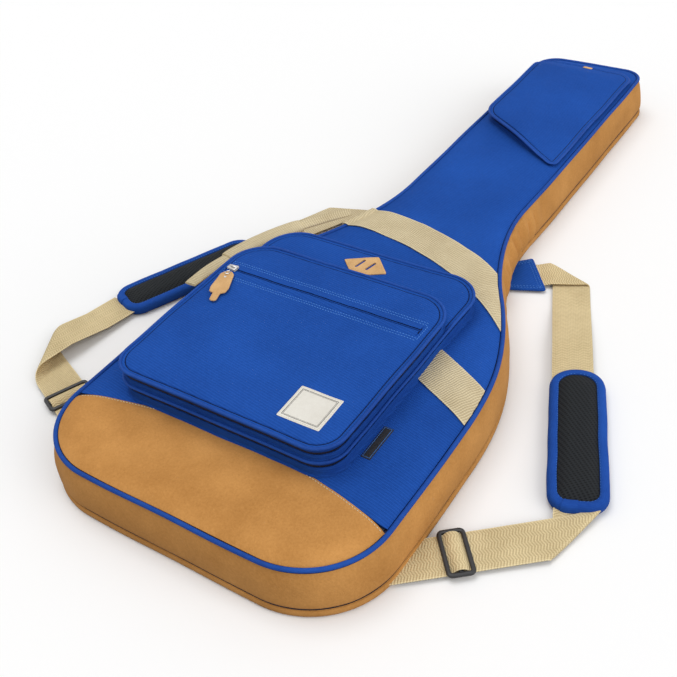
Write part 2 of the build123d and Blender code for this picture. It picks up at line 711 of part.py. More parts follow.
def pocket_cover(outline, bottom, height, name):
    """Face of a pocket with the upper half of its wall, open underneath."""
    with BuildPart() as cover:
        with BuildSketch(Plane.XY.offset(bottom)):
            add(outline(-POCKET_INSET))
        extrude(amount=height)
        with BuildSketch(Plane.XY.offset(bottom)):
            add(outline(-POCKET_INSET - POCKET_WALL_T))
        extrude(amount=height - POCKET_FACE_T, mode=Mode.SUBTRACT)
    finish(cover.part, name)


def large_outline(margin):
    """The large pocket's plan."""
    return pocket_outline(LARGE_TOP, margin)


def small_outline(margin):
    """The front pocket's plan."""
    return pocket_outline(SMALL_TOP, margin)


pocket_wall(large_outline, LARGE_Z, LARGE_WALL_H, "large_pocket_wall")
pocket_coil(large_outline, LARGE_COIL_Z, "large_pocket_zip")
pocket_cover(large_outline, LARGE_COVER_Z, LARGE_COVER_H, "large_pocket_cover")
large_piping_z = LARGE_COVER_TOP - POCKET_PIPING_R
piping_round(large_outline(0), large_piping_z, POCKET_PIPING_R, "large_pocket_piping")
pocket_wall(small_outline, SMALL_Z, SMALL_WALL_H, "front_pocket_wall")
pocket_coil(small_outline, SMALL_COIL_Z, "front_pocket_zip")
pocket_cover(small_outline, SMALL_COVER_Z, SMALL_COVER_H, "front_pocket_cover")
small_piping_z = SMALL_COVER_TOP - POCKET_PIPING_R
piping_round(small_outline(0), small_piping_z, POCKET_PIPING_R, "front_pocket_piping")
pocket_wall(neck_pocket_outline, NECK_POCKET_Z, NECK_POCKET_WALL_H, "neck_pocket_wall")
pocket_cover(neck_pocket_outline, NECK_COVER_Z, NECK_POCKET_COVER_H, "neck_pocket_cover")
pocket_coil(neck_pocket_outline, NECK_COIL_Z, "neck_pocket_zip")
neck_piping_z = NECK_COVER_TOP - POCKET_PIPING_R
piping_round(neck_pocket_outline(0), neck_piping_z, POCKET_PIPING_R, "neck_pocket_piping")

# ---------------------------------------------------------------- trim
with BuildPart() as lash_tab:
    tab_w, tab_h = LASH_TAB
    with BuildSketch(Plane.XY.offset(LARGE_COVER_TOP + SEAM)):
        with Locations(LASH_TAB_AT):
            Polygon((-tab_w / 2, 0), (0, tab_h / 2), (tab_w / 2, 0), (0, -tab_h / 2))
            with GridLocations(LASH_SLOT_PITCH, 0, 2, 1):
                SlotOverall(LASH_SLOT[0], LASH_SLOT[1], rotation=LASH_SLOT_LEAN, mode=Mode.SUBTRACT)
    extrude(amount=LEATHER_T)
finish(lash_tab.part, "lash_tab")

with BuildPart() as white_label:
    with BuildSketch(Plane.XY.offset(SMALL_COVER_TOP + SEAM)):
        with Locations(WHITE_LABEL_AT):
            Rectangle(*WHITE_LABEL)
    extrude(amount=LABEL_T)
finish(white_label.part, "white_label")

with BuildPart() as side_label:
    with BuildSketch(Plane.XY.offset(COVER_TOP + SEAM)):
        with Locations((POCKET_RIGHT + SIDE_LABEL_GAP + SIDE_LABEL[0] / 2, SIDE_LABEL_Y)):
            Rectangle(*SIDE_LABEL)
    extrude(amount=LABEL_T)
finish(side_label.part, "side_label")

with BuildPart() as zip_end_tab:
    tab_face = POCKET_LEFT + POCKET_INSET - SEAM
    with BuildSketch(Plane.XY.offset(SMALL_COIL_Z - WEB_T - GAP)):
        with Locations((tab_face, ZIP_END_TAB_Y)):
            Rectangle(*ZIP_END_TAB, align=(Align.MAX, Align.CENTER))
    extrude(amount=WEB_T)
finish(zip_end_tab.part, "zip_end_tab")

with BuildPart() as face_zip:
    with BuildSketch(Plane.XY.offset(SMALL_COVER_TOP + SEAM)):
        with Locations(((FACE_ZIP_LEFT + FACE_ZIP_RIGHT) / 2, FACE_ZIP_Y)):
            Rectangle(FACE_ZIP_RIGHT - FACE_ZIP_LEFT, FACE_ZIP_W)
    extrude(amount=FACE_ZIP_T)
finish(face_zip.part, "face_zip")

with BuildPart() as neck_tab:
    with BuildSketch(Plane.XY.offset(NECK_COVER_TOP + SEAM)):
        with Locations((NECK_TAB_X, NECK_POCKET_TOP - POCKET_INSET - NECK_TAB[1] / 2)):
            RectangleRounded(*NECK_TAB, NECK_TAB_R)
    extrude(amount=LEATHER_T)
finish(neck_tab.part, "neck_tab")


# ---------------------------------------------------------------- sliders and pulls
def side_slider(face_x, y, level, name, width=SLIDER_W):
    """Slider that stands on the bag's left side at face_x and runs along Y."""
    with BuildPart() as slider:
        with Locations((face_x - GAP - SLIDER_T / 2, y, level)):
            Box(SLIDER_T, SLIDER_L, width)
        chamfer(slider.edges().filter_by(Axis.X), SLIDER_NOSE)
    finish(slider.part, name)


def side_pull(face_x, y, level, name, toward):
    """Pull that lies along the bag's left side, pinned at its slider; toward is +1 or -1 in Y."""
    pin_y = y + toward * (SLIDER_L / 2 + GAP + PULL_T / 2)
    pin = (face_x - GAP - SLIDER_T - GAP - PULL_T / 2, pin_y, level)
    with BuildPart() as pull:
        with BuildSketch(Plane(origin=pin, x_dir=(0, toward, 0), z_dir=(1, 0, 0))):
            add(pull_plan())
        extrude(amount=PULL_T / 2, both=True)
        with BuildSketch(Plane(origin=pin, x_dir=(1, 0, 0), z_dir=(0, 0, 1))):
            Circle(PULL_T / 2)
        extrude(amount=PULL_NECK_W / 2, both=True)
    finish(pull.part, name)


wall_face = -(NECK_HALF + EDGE_OUT)
main_level = COIL_Z + COIL_T + GAP / 2
side_slider(wall_face, MAIN_SLIDER_LOW_Y, main_level, "main_slider_low")
side_pull(wall_face, MAIN_SLIDER_LOW_Y, main_level, "main_pull_low", -1)
side_slider(wall_face, MAIN_SLIDER_HIGH_Y, main_level, "main_slider_high")
side_pull(wall_face, MAIN_SLIDER_HIGH_Y, main_level, "main_pull_high", 1)

pocket_face = POCKET_LEFT + POCKET_INSET
large_level = LARGE_COIL_Z + COIL_T / 2
side_slider(pocket_face, LARGE_SLIDER_Y, large_level, "large_pocket_slider")
side_pull(pocket_face, LARGE_SLIDER_Y, large_level, "large_pocket_pull", -1)
small_level = SMALL_COIL_Z + COIL_T / 2
side_slider(pocket_face, SMALL_SLIDER_Y, small_level, "front_pocket_slider")
side_pull(pocket_face, SMALL_SLIDER_Y, small_level, "front_pocket_pull", -1)

neck_face = NECK_POCKET_LEFT + POCKET_INSET
neck_level = NECK_COIL_Z + COIL_T / 2
side_slider(neck_face, NECK_SLIDER_Y, neck_level, "neck_pocket_slider", NECK_SLIDER_W)

with BuildPart() as face_slider:
    slider_z = SMALL_COVER_TOP + SEAM + FACE_ZIP_T + GAP
    with Locations((FACE_SLIDER_X, FACE_ZIP_Y, slider_z + SLIDER_T / 2)):
        Box(SLIDER_L, SLIDER_W, SLIDER_T)
    chamfer(face_slider.edges().filter_by(Axis.Z), SLIDER_NOSE)
finish(face_slider.part, "face_slider")

with BuildPart() as face_pull:
    pull_pin = (FACE_SLIDER_X, FACE_ZIP_Y - SLIDER_W / 2 - PULL_NECK_W / 2, slider_z + PULL_T / 2)
    lay = along((0, 0), PULL_LAY_DEG, 1)
    with BuildSketch(Plane(origin=pull_pin, x_dir=(*lay, 0), z_dir=(0, 0, 1))):
        add(pull_plan())
    extrude(amount=PULL_T / 2, both=True)
    with BuildSketch(Plane(origin=pull_pin, x_dir=(0, 0, 1), z_dir=(-lay[1], lay[0], 0))):
        Circle(PULL_T / 2)
    extrude(amount=PULL_NECK_W / 2, both=True)
finish(face_pull.part, "face_pull")
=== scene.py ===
"""Looks of a padded gig bag: twill, suede, webbing, air mesh, leather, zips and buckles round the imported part."""

import math
from functools import partial

import bmesh
import bpy
import numpy as np
from mathutils import Matrix, Vector
from mathutils.geometry import delaunay_2d_cdt


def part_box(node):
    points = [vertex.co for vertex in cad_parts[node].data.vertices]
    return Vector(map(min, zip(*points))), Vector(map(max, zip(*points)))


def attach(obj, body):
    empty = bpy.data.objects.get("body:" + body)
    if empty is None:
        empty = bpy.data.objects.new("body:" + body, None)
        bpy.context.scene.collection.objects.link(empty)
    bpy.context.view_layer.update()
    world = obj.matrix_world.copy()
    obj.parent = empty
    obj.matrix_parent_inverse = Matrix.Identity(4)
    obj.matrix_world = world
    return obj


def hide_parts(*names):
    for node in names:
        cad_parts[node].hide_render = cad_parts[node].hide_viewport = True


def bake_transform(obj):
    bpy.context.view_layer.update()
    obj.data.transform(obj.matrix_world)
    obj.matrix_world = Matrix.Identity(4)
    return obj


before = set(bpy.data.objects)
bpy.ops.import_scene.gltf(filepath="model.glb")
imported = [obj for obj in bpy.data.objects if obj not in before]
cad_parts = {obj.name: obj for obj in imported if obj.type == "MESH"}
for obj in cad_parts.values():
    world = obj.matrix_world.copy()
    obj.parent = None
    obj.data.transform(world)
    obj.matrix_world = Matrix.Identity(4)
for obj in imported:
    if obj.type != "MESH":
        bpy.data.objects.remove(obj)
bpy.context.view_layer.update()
MM = 0.001
TURN = 2 * math.pi
UP = (0, 0, 1)


def low(node):
    """Lowest corner of a part's node, in millimetres."""
    return np.array(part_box(node)[0]) / MM


def high(node):
    """Highest corner of a part's node, in millimetres."""
    return np.array(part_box(node)[1]) / MM


def middle(node):
    """Middle of a part's node, in millimetres."""
    return (low(node) + high(node)) / 2


def in_scene(name, data):
    """A new object in the scene."""
    made = bpy.data.objects.new(name, data)
    bpy.context.scene.collection.objects.link(made)
    return made


# ---------------------------------------------------------------- camera
CAMERA_AT = (0.5232, -0.38546, 0.76306)
CAMERA_RIGHT = (0.826292, 0.554723, -0.097589)
CAMERA_UP = (-0.30142, 0.581869, 0.755364)
CAMERA_BACK = (0.475802, -0.594736, 0.647998)
CAMERA_LENS = {"sensor_width": 36, "lens": 51.485, "shift_x": 0.0308, "shift_y": 0.0312, "clip_end": 50}
camera = in_scene("camera", bpy.data.cameras.new("camera"))
turned = Matrix((CAMERA_RIGHT, CAMERA_UP, CAMERA_BACK)).transposed()
camera.matrix_world = Matrix.Translation(CAMERA_AT) @ turned.to_4x4()
for setting, number in CAMERA_LENS.items():
    setattr(camera.data, setting, number)
bpy.context.scene.camera = camera


# ---------------------------------------------------------------- shader tools
def feed(tree, socket, value):
    """Links another node's output to a socket, or sets its value."""
    if isinstance(value, bpy.types.NodeSocket):
        tree.links.new(value, socket)
    else:
        socket.default_value = value


def shader_node(tree, kind, inputs=None, **settings):
    """A node with its settings, and its inputs linked or set."""
    made = tree.nodes.new(kind)
    for key, value in settings.items():
        setattr(made, key, value)
    for key, value in (inputs or {}).items():
        feed(tree, made.inputs[key], value)
    return made


def calc(tree, operation, *values, clamp=False):
    """One step of arithmetic on values or outputs."""
    return shader_node(tree, "ShaderNodeMath", dict(enumerate(values)), operation=operation,
                       use_clamp=clamp).outputs[0]


def blend_colour(tree, share, first, second):
    """Colour between two others."""
    return shader_node(tree, "ShaderNodeMix", {0: share, 6: first, 7: second}, data_type="RGBA").outputs[2]


def effect(name, numbers, outs):
    """A node group fed with a vector and numbers: its tree, its arithmetic, its inputs and its outputs."""
    tree = bpy.data.node_groups.new(name, "ShaderNodeTree")
    tree.interface.new_socket("Vector", in_out="INPUT", socket_type="NodeSocketVector")
    for socket, value in numbers.items():
        tree.interface.new_socket(socket, in_out="INPUT", socket_type="NodeSocketFloat").default_value = value
    for socket in outs:
        tree.interface.new_socket(socket, in_out="OUTPUT", socket_type="NodeSocketFloat")
    ins = tree.nodes.new("NodeGroupInput").outputs
    return tree, partial(calc, tree), ins, tree.nodes.new("NodeGroupOutput").inputs


def wave(tree, distance, pitch):
    """A smooth 0 to 1 wave along a distance."""
    turns = calc(tree, "MULTIPLY", calc(tree, "DIVIDE", distance, pitch), TURN)
    return calc(tree, "MULTIPLY_ADD", calc(tree, "SINE", turns), 0.5, 0.5)


def split(tree, vector):
    """The three parts of a vector."""
    return shader_node(tree, "ShaderNodeSeparateXYZ", {0: vector}).outputs


def make_twill():
    """Slanting ribs crossed by finer threads."""
    tree, do, ins, outs = effect("twill_weave", {"Pitch": 0.003, "Cross": 0.3}, ["Height"])
    x, y, _ = split(tree, ins["Vector"])
    rib = wave(tree, do("ADD", y, do("MULTIPLY", x, 0.16)), ins["Pitch"])
    thread = wave(tree, do("SUBTRACT", x, do("MULTIPLY", y, 0.25)), do("MULTIPLY", ins["Pitch"], 0.55))
    kept = do("MULTIPLY", rib, do("SUBTRACT", 1.0, ins["Cross"]))
    feed(tree, outs["Height"], do("ADD", do("MULTIPLY", thread, ins["Cross"]), kept))
    return tree


def make_webbing_weave():
    """Ribs across a strap, bent into chevrons one Column wide, and a denser edge at Half its width."""
    tree, do, ins, outs = effect(
        "webbing_weave", {"Pitch": 0.0028, "Column": 0.006, "Chevron": 1.0, "Half": 0.024}, ["Height", "Edge"])
    x, y, _ = split(tree, ins["Vector"])
    bend = do("MULTIPLY", do("PINGPONG", x, ins["Column"]), ins["Chevron"])
    rib = wave(tree, do("ADD", y, bend), ins["Pitch"])
    strand = wave(tree, x, do("MULTIPLY", ins["Column"], 0.33))
    feed(tree, outs["Height"], do("MULTIPLY_ADD", rib, 0.75, do("MULTIPLY", strand, 0.25)))
    rim = do("SUBTRACT", do("ABSOLUTE", x), do("SUBTRACT", ins["Half"], 0.0016))
    feed(tree, outs["Edge"], do("MULTIPLY", rim, 1500.0, clamp=True))
    return tree


def make_air_mesh():
    """Slanting rows of short slots, as in padding mesh."""
    tree, do, ins, outs = effect("air_mesh", {"Pitch": 0.004}, ["Height"])
    x, y, _ = split(tree, ins["Vector"])
    one = wave(tree, do("ADD", x, do("MULTIPLY", y, 0.45)), ins["Pitch"])
    two = wave(tree, do("SUBTRACT", y, do("MULTIPLY", x, 0.55)), do("MULTIPLY", ins["Pitch"], 1.6))
    feed(tree, outs["Height"], do("SUBTRACT", 1.0, do("MULTIPLY", one, two)))
    return tree


def make_cloud():
    """Soft patches over the surface, with finer ones in them, for fading, dust and handling."""
    tree, do, ins, outs = effect("handling_cloud", {"Size": 0.08, "Fine": 0.006}, ["Cloud", "Specks"])
    for out, size, detail in (("Cloud", "Size", 4.0), ("Specks", "Fine", 2.0)):
        noise = shader_node(tree, "ShaderNodeTexNoise", {
            "Vector": ins["Vector"], "Scale": do("DIVIDE", 1.0, ins[size]), "Detail": detail})
        spread = shader_node(tree, "ShaderNodeMapRange", {0: noise.outputs[0], 1: 0.3, 2: 0.7})
        feed(tree, outs[out], spread.outputs[0])
    return tree


def make_nap():
    """Short brushed fibres and pores, for suede and leather."""
    tree, do, ins, outs = effect("hide_grain", {"Size": 0.002}, ["Height"])
    noise, pores = (
        shader_node(tree, kind, {"Vector": ins["Vector"], "Scale": do("DIVIDE", share, ins["Size"])})
        for kind, share in (("ShaderNodeTexNoise", 1.0), ("ShaderNodeTexVoronoi", 0.6)))
    noise.inputs["Detail"].default_value = 5.0
    feed(tree, outs["Height"], do("MULTIPLY_ADD", noise.outputs[0], 0.7,
                                  do("MULTIPLY", pores.outputs["Distance"], 0.3)))
    return tree


TWILL_WEAVE, WEBBING_WEAVE, AIR_MESH = make_twill(), make_webbing_weave(), make_air_mesh()
CLOUD, HIDE_GRAIN = make_cloud(), make_nap()


def finish(name, dark, light, roughness, pattern=None, values=None, relief=0.0003, sheen=0.0, metallic=0.0,
           pattern_share=0.35, cloud=(0.09, 0.005), cloud_share=0.5, flat_uv=True, edge=None, specular=0.4):
    """A material: colour from dark to light by weave and handling, roughness and relief from the same."""
    material = bpy.data.materials.new(name)
    material.use_nodes = True
    tree = material.node_tree
    do = partial(calc, tree)
    spot = shader_node(tree, "ShaderNodeTexCoord").outputs["Object"]
    worn = shader_node(tree, "ShaderNodeGroup", {"Vector": spot, "Size": cloud[0], "Fine": cloud[1]},
                       node_tree=CLOUD).outputs
    share = do("MULTIPLY_ADD", worn["Cloud"], cloud_share, do("MULTIPLY", worn["Specks"], cloud_share * 0.35))
    height = worn["Specks"]
    if pattern:
        on_cloth = shader_node(tree, "ShaderNodeUVMap", uv_map="cloth").outputs[0] if flat_uv else spot
        woven = shader_node(tree, "ShaderNodeGroup", {"Vector": on_cloth, **values}, node_tree=pattern).outputs
        height = woven["Height"]
        share = do("MULTIPLY_ADD", height, pattern_share, share)
    colour = blend_colour(tree, do("ADD", share, 0.0, clamp=True), (*dark, 1), (*light, 1))
    if edge:
        colour = blend_colour(tree, do("MULTIPLY", woven["Edge"], 0.6), colour, (*edge, 1))
    bump = shader_node(tree, "ShaderNodeBump", {"Strength": 1.0, "Distance": relief, "Height": height})
    skin = tree.nodes["Principled BSDF"]
    for socket, value in {
            "Base Color": colour, "Normal": bump.outputs[0], "Metallic": metallic, "Sheen Weight": sheen,
            "Sheen Roughness": 0.5, "Specular IOR Level": specular,
            "Roughness": do("MULTIPLY_ADD", worn["Cloud"], 0.14, roughness - 0.07, clamp=True)}.items():
        feed(tree, skin.inputs[socket], value)
    return material


def twill(name, dark, light, roughness, pitch, cross, relief, **more):
    """A material in twill weave."""
    return finish(name, dark, light, roughness, TWILL_WEAVE, {"Pitch": pitch, "Cross": cross}, relief, **more)


def strap_cloth(name, dark, light, edge, column, chevron):
    """A material for woven straps."""
    return finish(name, dark, light, 0.9, WEBBING_WEAVE, {"Pitch": 0.003, "Column": column, "Chevron": chevron},
                  0.0006, pattern_share=0.6, cloud=(0.05, 0.004), cloud_share=0.3, edge=edge, specular=0.12)


TWILL = twill("blue_twill", (0.0065, 0.050, 0.26), (0.019, 0.100, 0.46), 0.85, 0.0032, 0.3, 0.0004,
              pattern_share=0.42, cloud=(0.11, 0.004), cloud_share=0.45, specular=0.08)
GUSSET = twill("blue_gusset_twill", (0.006, 0.037, 0.20), (0.014, 0.078, 0.37), 0.85, 0.0028, 0.4, 0.0004,
               specular=0.08)
PIPING = twill("blue_piping_tape", (0.005, 0.040, 0.235), (0.019, 0.096, 0.44), 0.7, 0.0016, 0.5, 0.00018,
               specular=0.16)
BINDING = twill("blue_pad_binding", (0.006, 0.047, 0.27), (0.020, 0.100, 0.46), 0.8, 0.0018, 0.5, 0.00025,
                specular=0.12)
SUEDE = finish("tan_suede", (0.40, 0.175, 0.042), (0.64, 0.312, 0.094), 0.95, HIDE_GRAIN, {"Size": 0.0016},
               0.0006, sheen=0.04, pattern_share=0.5, cloud=(0.052, 0.003), cloud_share=0.55, flat_uv=False,
               specular=0.06)
LEATHER = finish("tan_leather", (0.50, 0.275, 0.10), (0.78, 0.48, 0.215), 0.6, HIDE_GRAIN, {"Size": 0.0011},
                 0.00025, pattern_share=0.4, cloud=(0.02, 0.002), flat_uv=False, specular=0.3)
RIB_WEBBING = strap_cloth("beige_ribbed_webbing", (0.43, 0.335, 0.19), (0.80, 0.69, 0.46), (0.82, 0.71, 0.46),
                          0.009, 0.12)
WEBBING = strap_cloth("beige_herringbone_webbing", (0.47, 0.36, 0.185), (0.90, 0.745, 0.445), (0.88, 0.74, 0.45),
                      0.006, 0.4)
MESH = finish("black_air_mesh", (0.003, 0.0032, 0.004), (0.020, 0.023, 0.026), 0.8, AIR_MESH, {"Pitch": 0.0031},
              0.0008, pattern_share=0.8, cloud=(0.05, 0.003), cloud_share=0.2, specular=0.15)
LINING = twill("navy_lining", (0.006, 0.012, 0.05), (0.016, 0.03, 0.1), 0.75, 0.0012, 0.5, 0.00015, sheen=0.2,
               flat_uv=False)
FOAM = twill("grey_foam_cover", (0.03, 0.032, 0.04), (0.075, 0.08, 0.095), 0.85, 0.0018, 0.5, 0.0003,
             sheen=0.15, flat_uv=False)
# Navy zip tape; the same dark colour also paints the shade of each pocket's seam groove, as a thin cord.
ZIP_TAPE_AND_GROOVE_SHADE = twill("navy_zip_tape_and_painted_groove_shade", (0.004, 0.007, 0.025), (0.009, 0.019, 0.066), 0.8, 0.0012, 0.6, 0.0002,
                 specular=0.1)
ZIP_COIL = finish("navy_zip_coil", (0.002, 0.003, 0.009), (0.010, 0.013, 0.034), 0.5, WEBBING_WEAVE,
                  {"Pitch": 0.0016, "Column": 0.02, "Chevron": 0.0, "Half": 1.0}, 0.0005, specular=0.25)
METAL = finish("nickel", (0.42, 0.41, 0.40), (0.72, 0.71, 0.69), 0.28, relief=0.00003, metallic=1.0,
               cloud=(0.008, 0.0008), cloud_share=0.6)
PLASTIC = finish("black_buckle_plastic", (0.006, 0.006, 0.007), (0.022, 0.022, 0.025), 0.45, HIDE_GRAIN,
                 {"Size": 0.0007}, 0.00006, flat_uv=False, cloud=(0.01, 0.001), specular=0.5)
LABEL_CLOTH = twill("cream_label_cloth", (0.70, 0.66, 0.58), (0.90, 0.88, 0.82), 0.8, 0.0009, 0.5, 0.00012,
                    cloud_share=0.4)
LABEL_INK = twill("printed_label_line", (0.03, 0.028, 0.026), (0.07, 0.065, 0.06), 0.8, 0.0009, 0.5, 0.0001)
BLACK_LABEL = twill("black_woven_label", (0.006, 0.006, 0.008), (0.022, 0.022, 0.027), 0.7, 0.0010, 0.5, 0.00012)
BLUE_THREAD, TAN_THREAD, CREAM_THREAD = (
    finish(f"{colour}_sewing_thread", dark, light, 0.6, relief=0.00005)
    for colour, dark, light in (("blue", (0.05, 0.20, 0.60), (0.11, 0.34, 0.82)),
                                ("tan", (0.45, 0.30, 0.13), (0.68, 0.50, 0.27)),
                                ("cream", (0.6, 0.5, 0.33), (0.8, 0.72, 0.52))))


# ---------------------------------------------------------------- paths and outlines
def unit(vectors):
    """The same directions with length one."""
    return vectors / np.linalg.norm(vectors, axis=-1, keepdims=True)


def spokes(angles):
    """Points in plan on the circle of radius one."""
    return np.column_stack([np.cos(angles), np.sin(angles)])


def bearing(point):
    """Angle of a point in plan seen from the origin."""
    return math.atan2(point[1], point[0])


def run_of(path):
    """How far along a path each of its points lies."""
    return np.concatenate([[0], np.cumsum(np.linalg.norm(np.diff(path, axis=0), axis=1))])


def read_off(at, run, table):
    """The rows of a table at other places along its run."""
    return np.column_stack([np.interp(at, run, column) for column in np.transpose(table)])


def sheet(*axes):
    """A grid of points from arrays along its rows and columns."""
    return np.stack(np.broadcast_arrays(*axes), axis=-1)


def closed(row):
    """A row of points that ends where it starts."""
    return np.vstack([row, row[:1]])


def ring_edges(first, count):
    """Pairs of neighbours round a ring."""
    return [(first + i, first + (i + 1) % count) for i in range(count)]


def kept_run(keep):
    """Numbers of the kept points of an outline, in their order round it."""
    count = len(keep)
    start = next(i for i in range(count) if keep[i] and not keep[i - 1])
    return [i % count for i in range(start, start + count) if keep[i % count]]


def levelled(points, height):
    """Points in plan at a height, which may be a number, a list or a function of the points."""
    z = height(points) if callable(height) else height
    return np.column_stack([points, np.broadcast_to(z, len(points))])


def rounded_loop(corners, radii, step):
    """Points round a closed outline, anticlockwise, with its corners rounded."""
    corners = np.array(corners, float)
    arcs = []
    for back, here, on, radius in zip(np.roll(corners, 1, axis=0), corners, np.roll(corners, -1, axis=0), radii):
        u, v = unit(back - here), unit(on - here)
        half = math.acos(np.clip(u @ v, -1, 1)) / 2
        centre = here + unit(u + v) * radius / math.sin(half)
        first, last = (bearing(here + way * radius / math.tan(half) - centre) for way in (u, v))
        turn = (last - first + math.pi) % TURN - math.pi
        count = max(3, math.ceil(abs(turn) * radius / step))
        arcs.append(centre + radius * spokes(first + turn * np.linspace(0, 1, count + 1)))
    out = []
    for arc, after in zip(arcs, arcs[1:] + arcs[:1]):
        out.append(arc)
        run = math.dist(arc[-1], after[0])
        if run > 1.5 * step:
            count = round(run / step)
            share = np.arange(1, count)[:, None] / count
            out.append(arc[-1] * (1 - share) + after[0] * share)
    loop = np.vstack(out)
    return loop[np.linalg.norm(loop - np.roll(loop, 1, axis=0), axis=1) > 0.01]


def turned_box(centre, size, degrees, radius, step=2.0):
    """Outline of a rectangle turned in plan, with rounded corners."""
    w, h = size[0] / 2, size[1] / 2
    c, s = math.cos(math.radians(degrees)), math.sin(math.radians(degrees))
    corners = [(centre[0] + c * x - s * y, centre[1] + s * x + c * y)
               for x, y in ((-w, -h), (w, -h), (w, h), (-w, h))]
    return rounded_loop(corners, [radius] * 4, step)


def outward(loop):
    """Unit directions out of an anticlockwise outline."""
    way = unit(np.roll(loop, -1, axis=0) - np.roll(loop, 1, axis=0))
    return np.column_stack([way[:, 1], -way[:, 0]])


def grown(loop, margin):
    """The outline moved outwards by a margin, which may differ from point to point."""
    return loop + outward(loop) * np.reshape(margin, (-1, 1))


def spread_segments(points, loop, act):
    """Runs act on points and the loop's segments in batches, to keep the arrays small."""
    points, batch = np.asarray(points, float), 4000
    a, b = loop, np.roll(loop, -1, axis=0)
    return np.concatenate([act(points[i:i + batch], a, b) for i in range(0, len(points), batch)])


def reach(points, loop):
    """Distance of each point from an outline."""
    def act(p, a, b):
        ab = b - a
        t = np.clip(((p[:, None] - a) * ab).sum(2) / np.maximum((ab ** 2).sum(1), 1e-12), 0, 1)
        return np.sqrt((((a + t[..., None] * ab) - p[:, None]) ** 2).sum(2).min(1))
    return spread_segments(points, loop, act)


def inside(points, loop):
    """Which points lie inside an outline."""
    def act(p, a, b):
        x, y = p[:, :1], p[:, 1:]
        crosses = (a[:, 1] > y) != (b[:, 1] > y)
        with np.errstate(divide="ignore", invalid="ignore"):
            at = (b[:, 0] - a[:, 0]) * (y - a[:, 1]) / (b[:, 1] - a[:, 1]) + a[:, 0]
        return (crosses & (x < at)).sum(1) % 2 == 1
    return spread_segments(points, loop, act)


def depth_in(points, loop):
    """How far inside an outline each point lies, 0 for points outside."""
    return np.where(inside(points, loop), reach(points, loop), 0)


def crowned(depth, over, power=2.0):
    """Rises from 0 at the edge to 1 at a depth, steep first."""
    return 1 - (1 - np.clip(depth / over, 0, 1)) ** power


ROW_STEP = 0.866  # between the rows of a grid of even triangles, for a spacing of 1


def plan(loop, spacing, insets=(), holes=()):
    """Flat triangles inside an outline and round its holes: points, the outline's first, and faces."""
    layers = [loop]
    for inset in insets:
        ring = grown(loop, -inset)
        layers.append(ring[inside(ring, loop) & (reach(ring, loop) > 0.93 * inset)])
    (left, front), (right, back) = loop.min(0), loop.max(0)
    grid = np.vstack([sheet(np.arange(left + (k % 2) * spacing / 2, right, spacing), y)
                      for k, y in enumerate(np.arange(front, back, spacing * ROW_STEP))])
    grid = grid[inside(grid, loop)]
    for hole in holes:
        grid = grid[~inside(grid, hole) & (reach(grid, hole) > 0.5 * spacing)]
    layers.append(grid[reach(grid, loop) > (insets[-1] if insets else 0) + 0.6 * spacing])
    points, edges = np.vstack(layers), ring_edges(0, len(loop))
    for hole in holes:
        edges += ring_edges(len(points), len(hole))
        points = np.vstack([points, hole])
    made, _, faces, *_ = delaunay_2d_cdt([Vector(p) for p in points], edges, [], 1, 1e-4)
    made = np.array([tuple(v) for v in made])
    for hole in holes:
        middles = np.array([made[list(face)].mean(0) for face in faces])
        faces = [face for face, cut in zip(faces, inside(middles, hole)) if not cut]
    return made, [tuple(face) for face in faces]


def ripple(points, size, seed):
    """Smooth hills between about -1 and 1 over points, each about size long."""
    draw = np.random.default_rng(seed)
    points, waves = np.asarray(points, float), 8
    total = np.zeros(len(points))
    for _ in range(waves):
        way = unit(draw.normal(size=points.shape[1]))
        total += np.sin(points @ way * TURN / (size * draw.uniform(0.7, 1.8)) + draw.uniform(0, 6.28))
    return total / (0.4 * waves)


# ---------------------------------------------------------------- patches and pieces
def laid_flat(grid):
    """Flat coordinates of a grid of points, by its mean distances along rows and columns."""
    u, v = (np.concatenate([[0], np.cumsum(np.linalg.norm(np.diff(grid, axis=axis), axis=2).mean(1 - axis))])
            for axis in (1, 0))
    return sheet(u, v[:, None])


def loft(rings, material, ring_closed=True, section_closed=False, uv=None):
    """A patch over rings of points (rings, points, 3): each ring joined to the next."""
    rings = np.asarray(rings, float)
    if ring_closed:
        rings = np.concatenate([rings, rings[:, :1]], axis=1)
    if section_closed:
        rings = np.concatenate([rings, rings[:1]], axis=0)
    k, n, _ = rings.shape
    uv = laid_flat(rings) if uv is None else uv
    index = np.arange(k * n).reshape(k, n)
    faces = np.stack([index[:-1, :-1], index[:-1, 1:], index[1:, 1:], index[1:, :-1]], axis=-1)
    return rings.reshape(-1, 3), faces.reshape(-1, 4).tolist(), np.reshape(uv, (-1, 2)), material


def lid_over(ring, material):
    """A patch that closes a ring with a fan of triangles."""
    count = len(ring)
    points = np.vstack([ring, ring.mean(0)])
    return points, [(*edge, count) for edge in ring_edges(0, count)], points[:, :2], material


def slab(loop, top, rim, face_cloth, rim_cloth=None, under_cloth=None, spacing=8.0,
         insets=(1.5, 4, 8, 14), under=None):
    """Closed shape over an outline: a top surface, rim rings of (margin, height), and an underside."""
    points, faces = plan(loop, spacing, insets)
    upper = levelled(points, top)
    rings = [upper[:len(loop)]] + [levelled(grown(loop, margin), height) for margin, height in rim]
    foot = rings[-1][:, :2]
    lower, lower_faces = plan(foot, spacing * 1.5)
    below = levelled(lower, under if under is not None else rim[-1][1])
    below[:len(foot), 2] = rings[-1][:, 2]
    return [(upper, faces, points, face_cloth), loft(rings, rim_cloth or face_cloth),
            (below, lower_faces, lower, under_cloth or rim_cloth or face_cloth)]


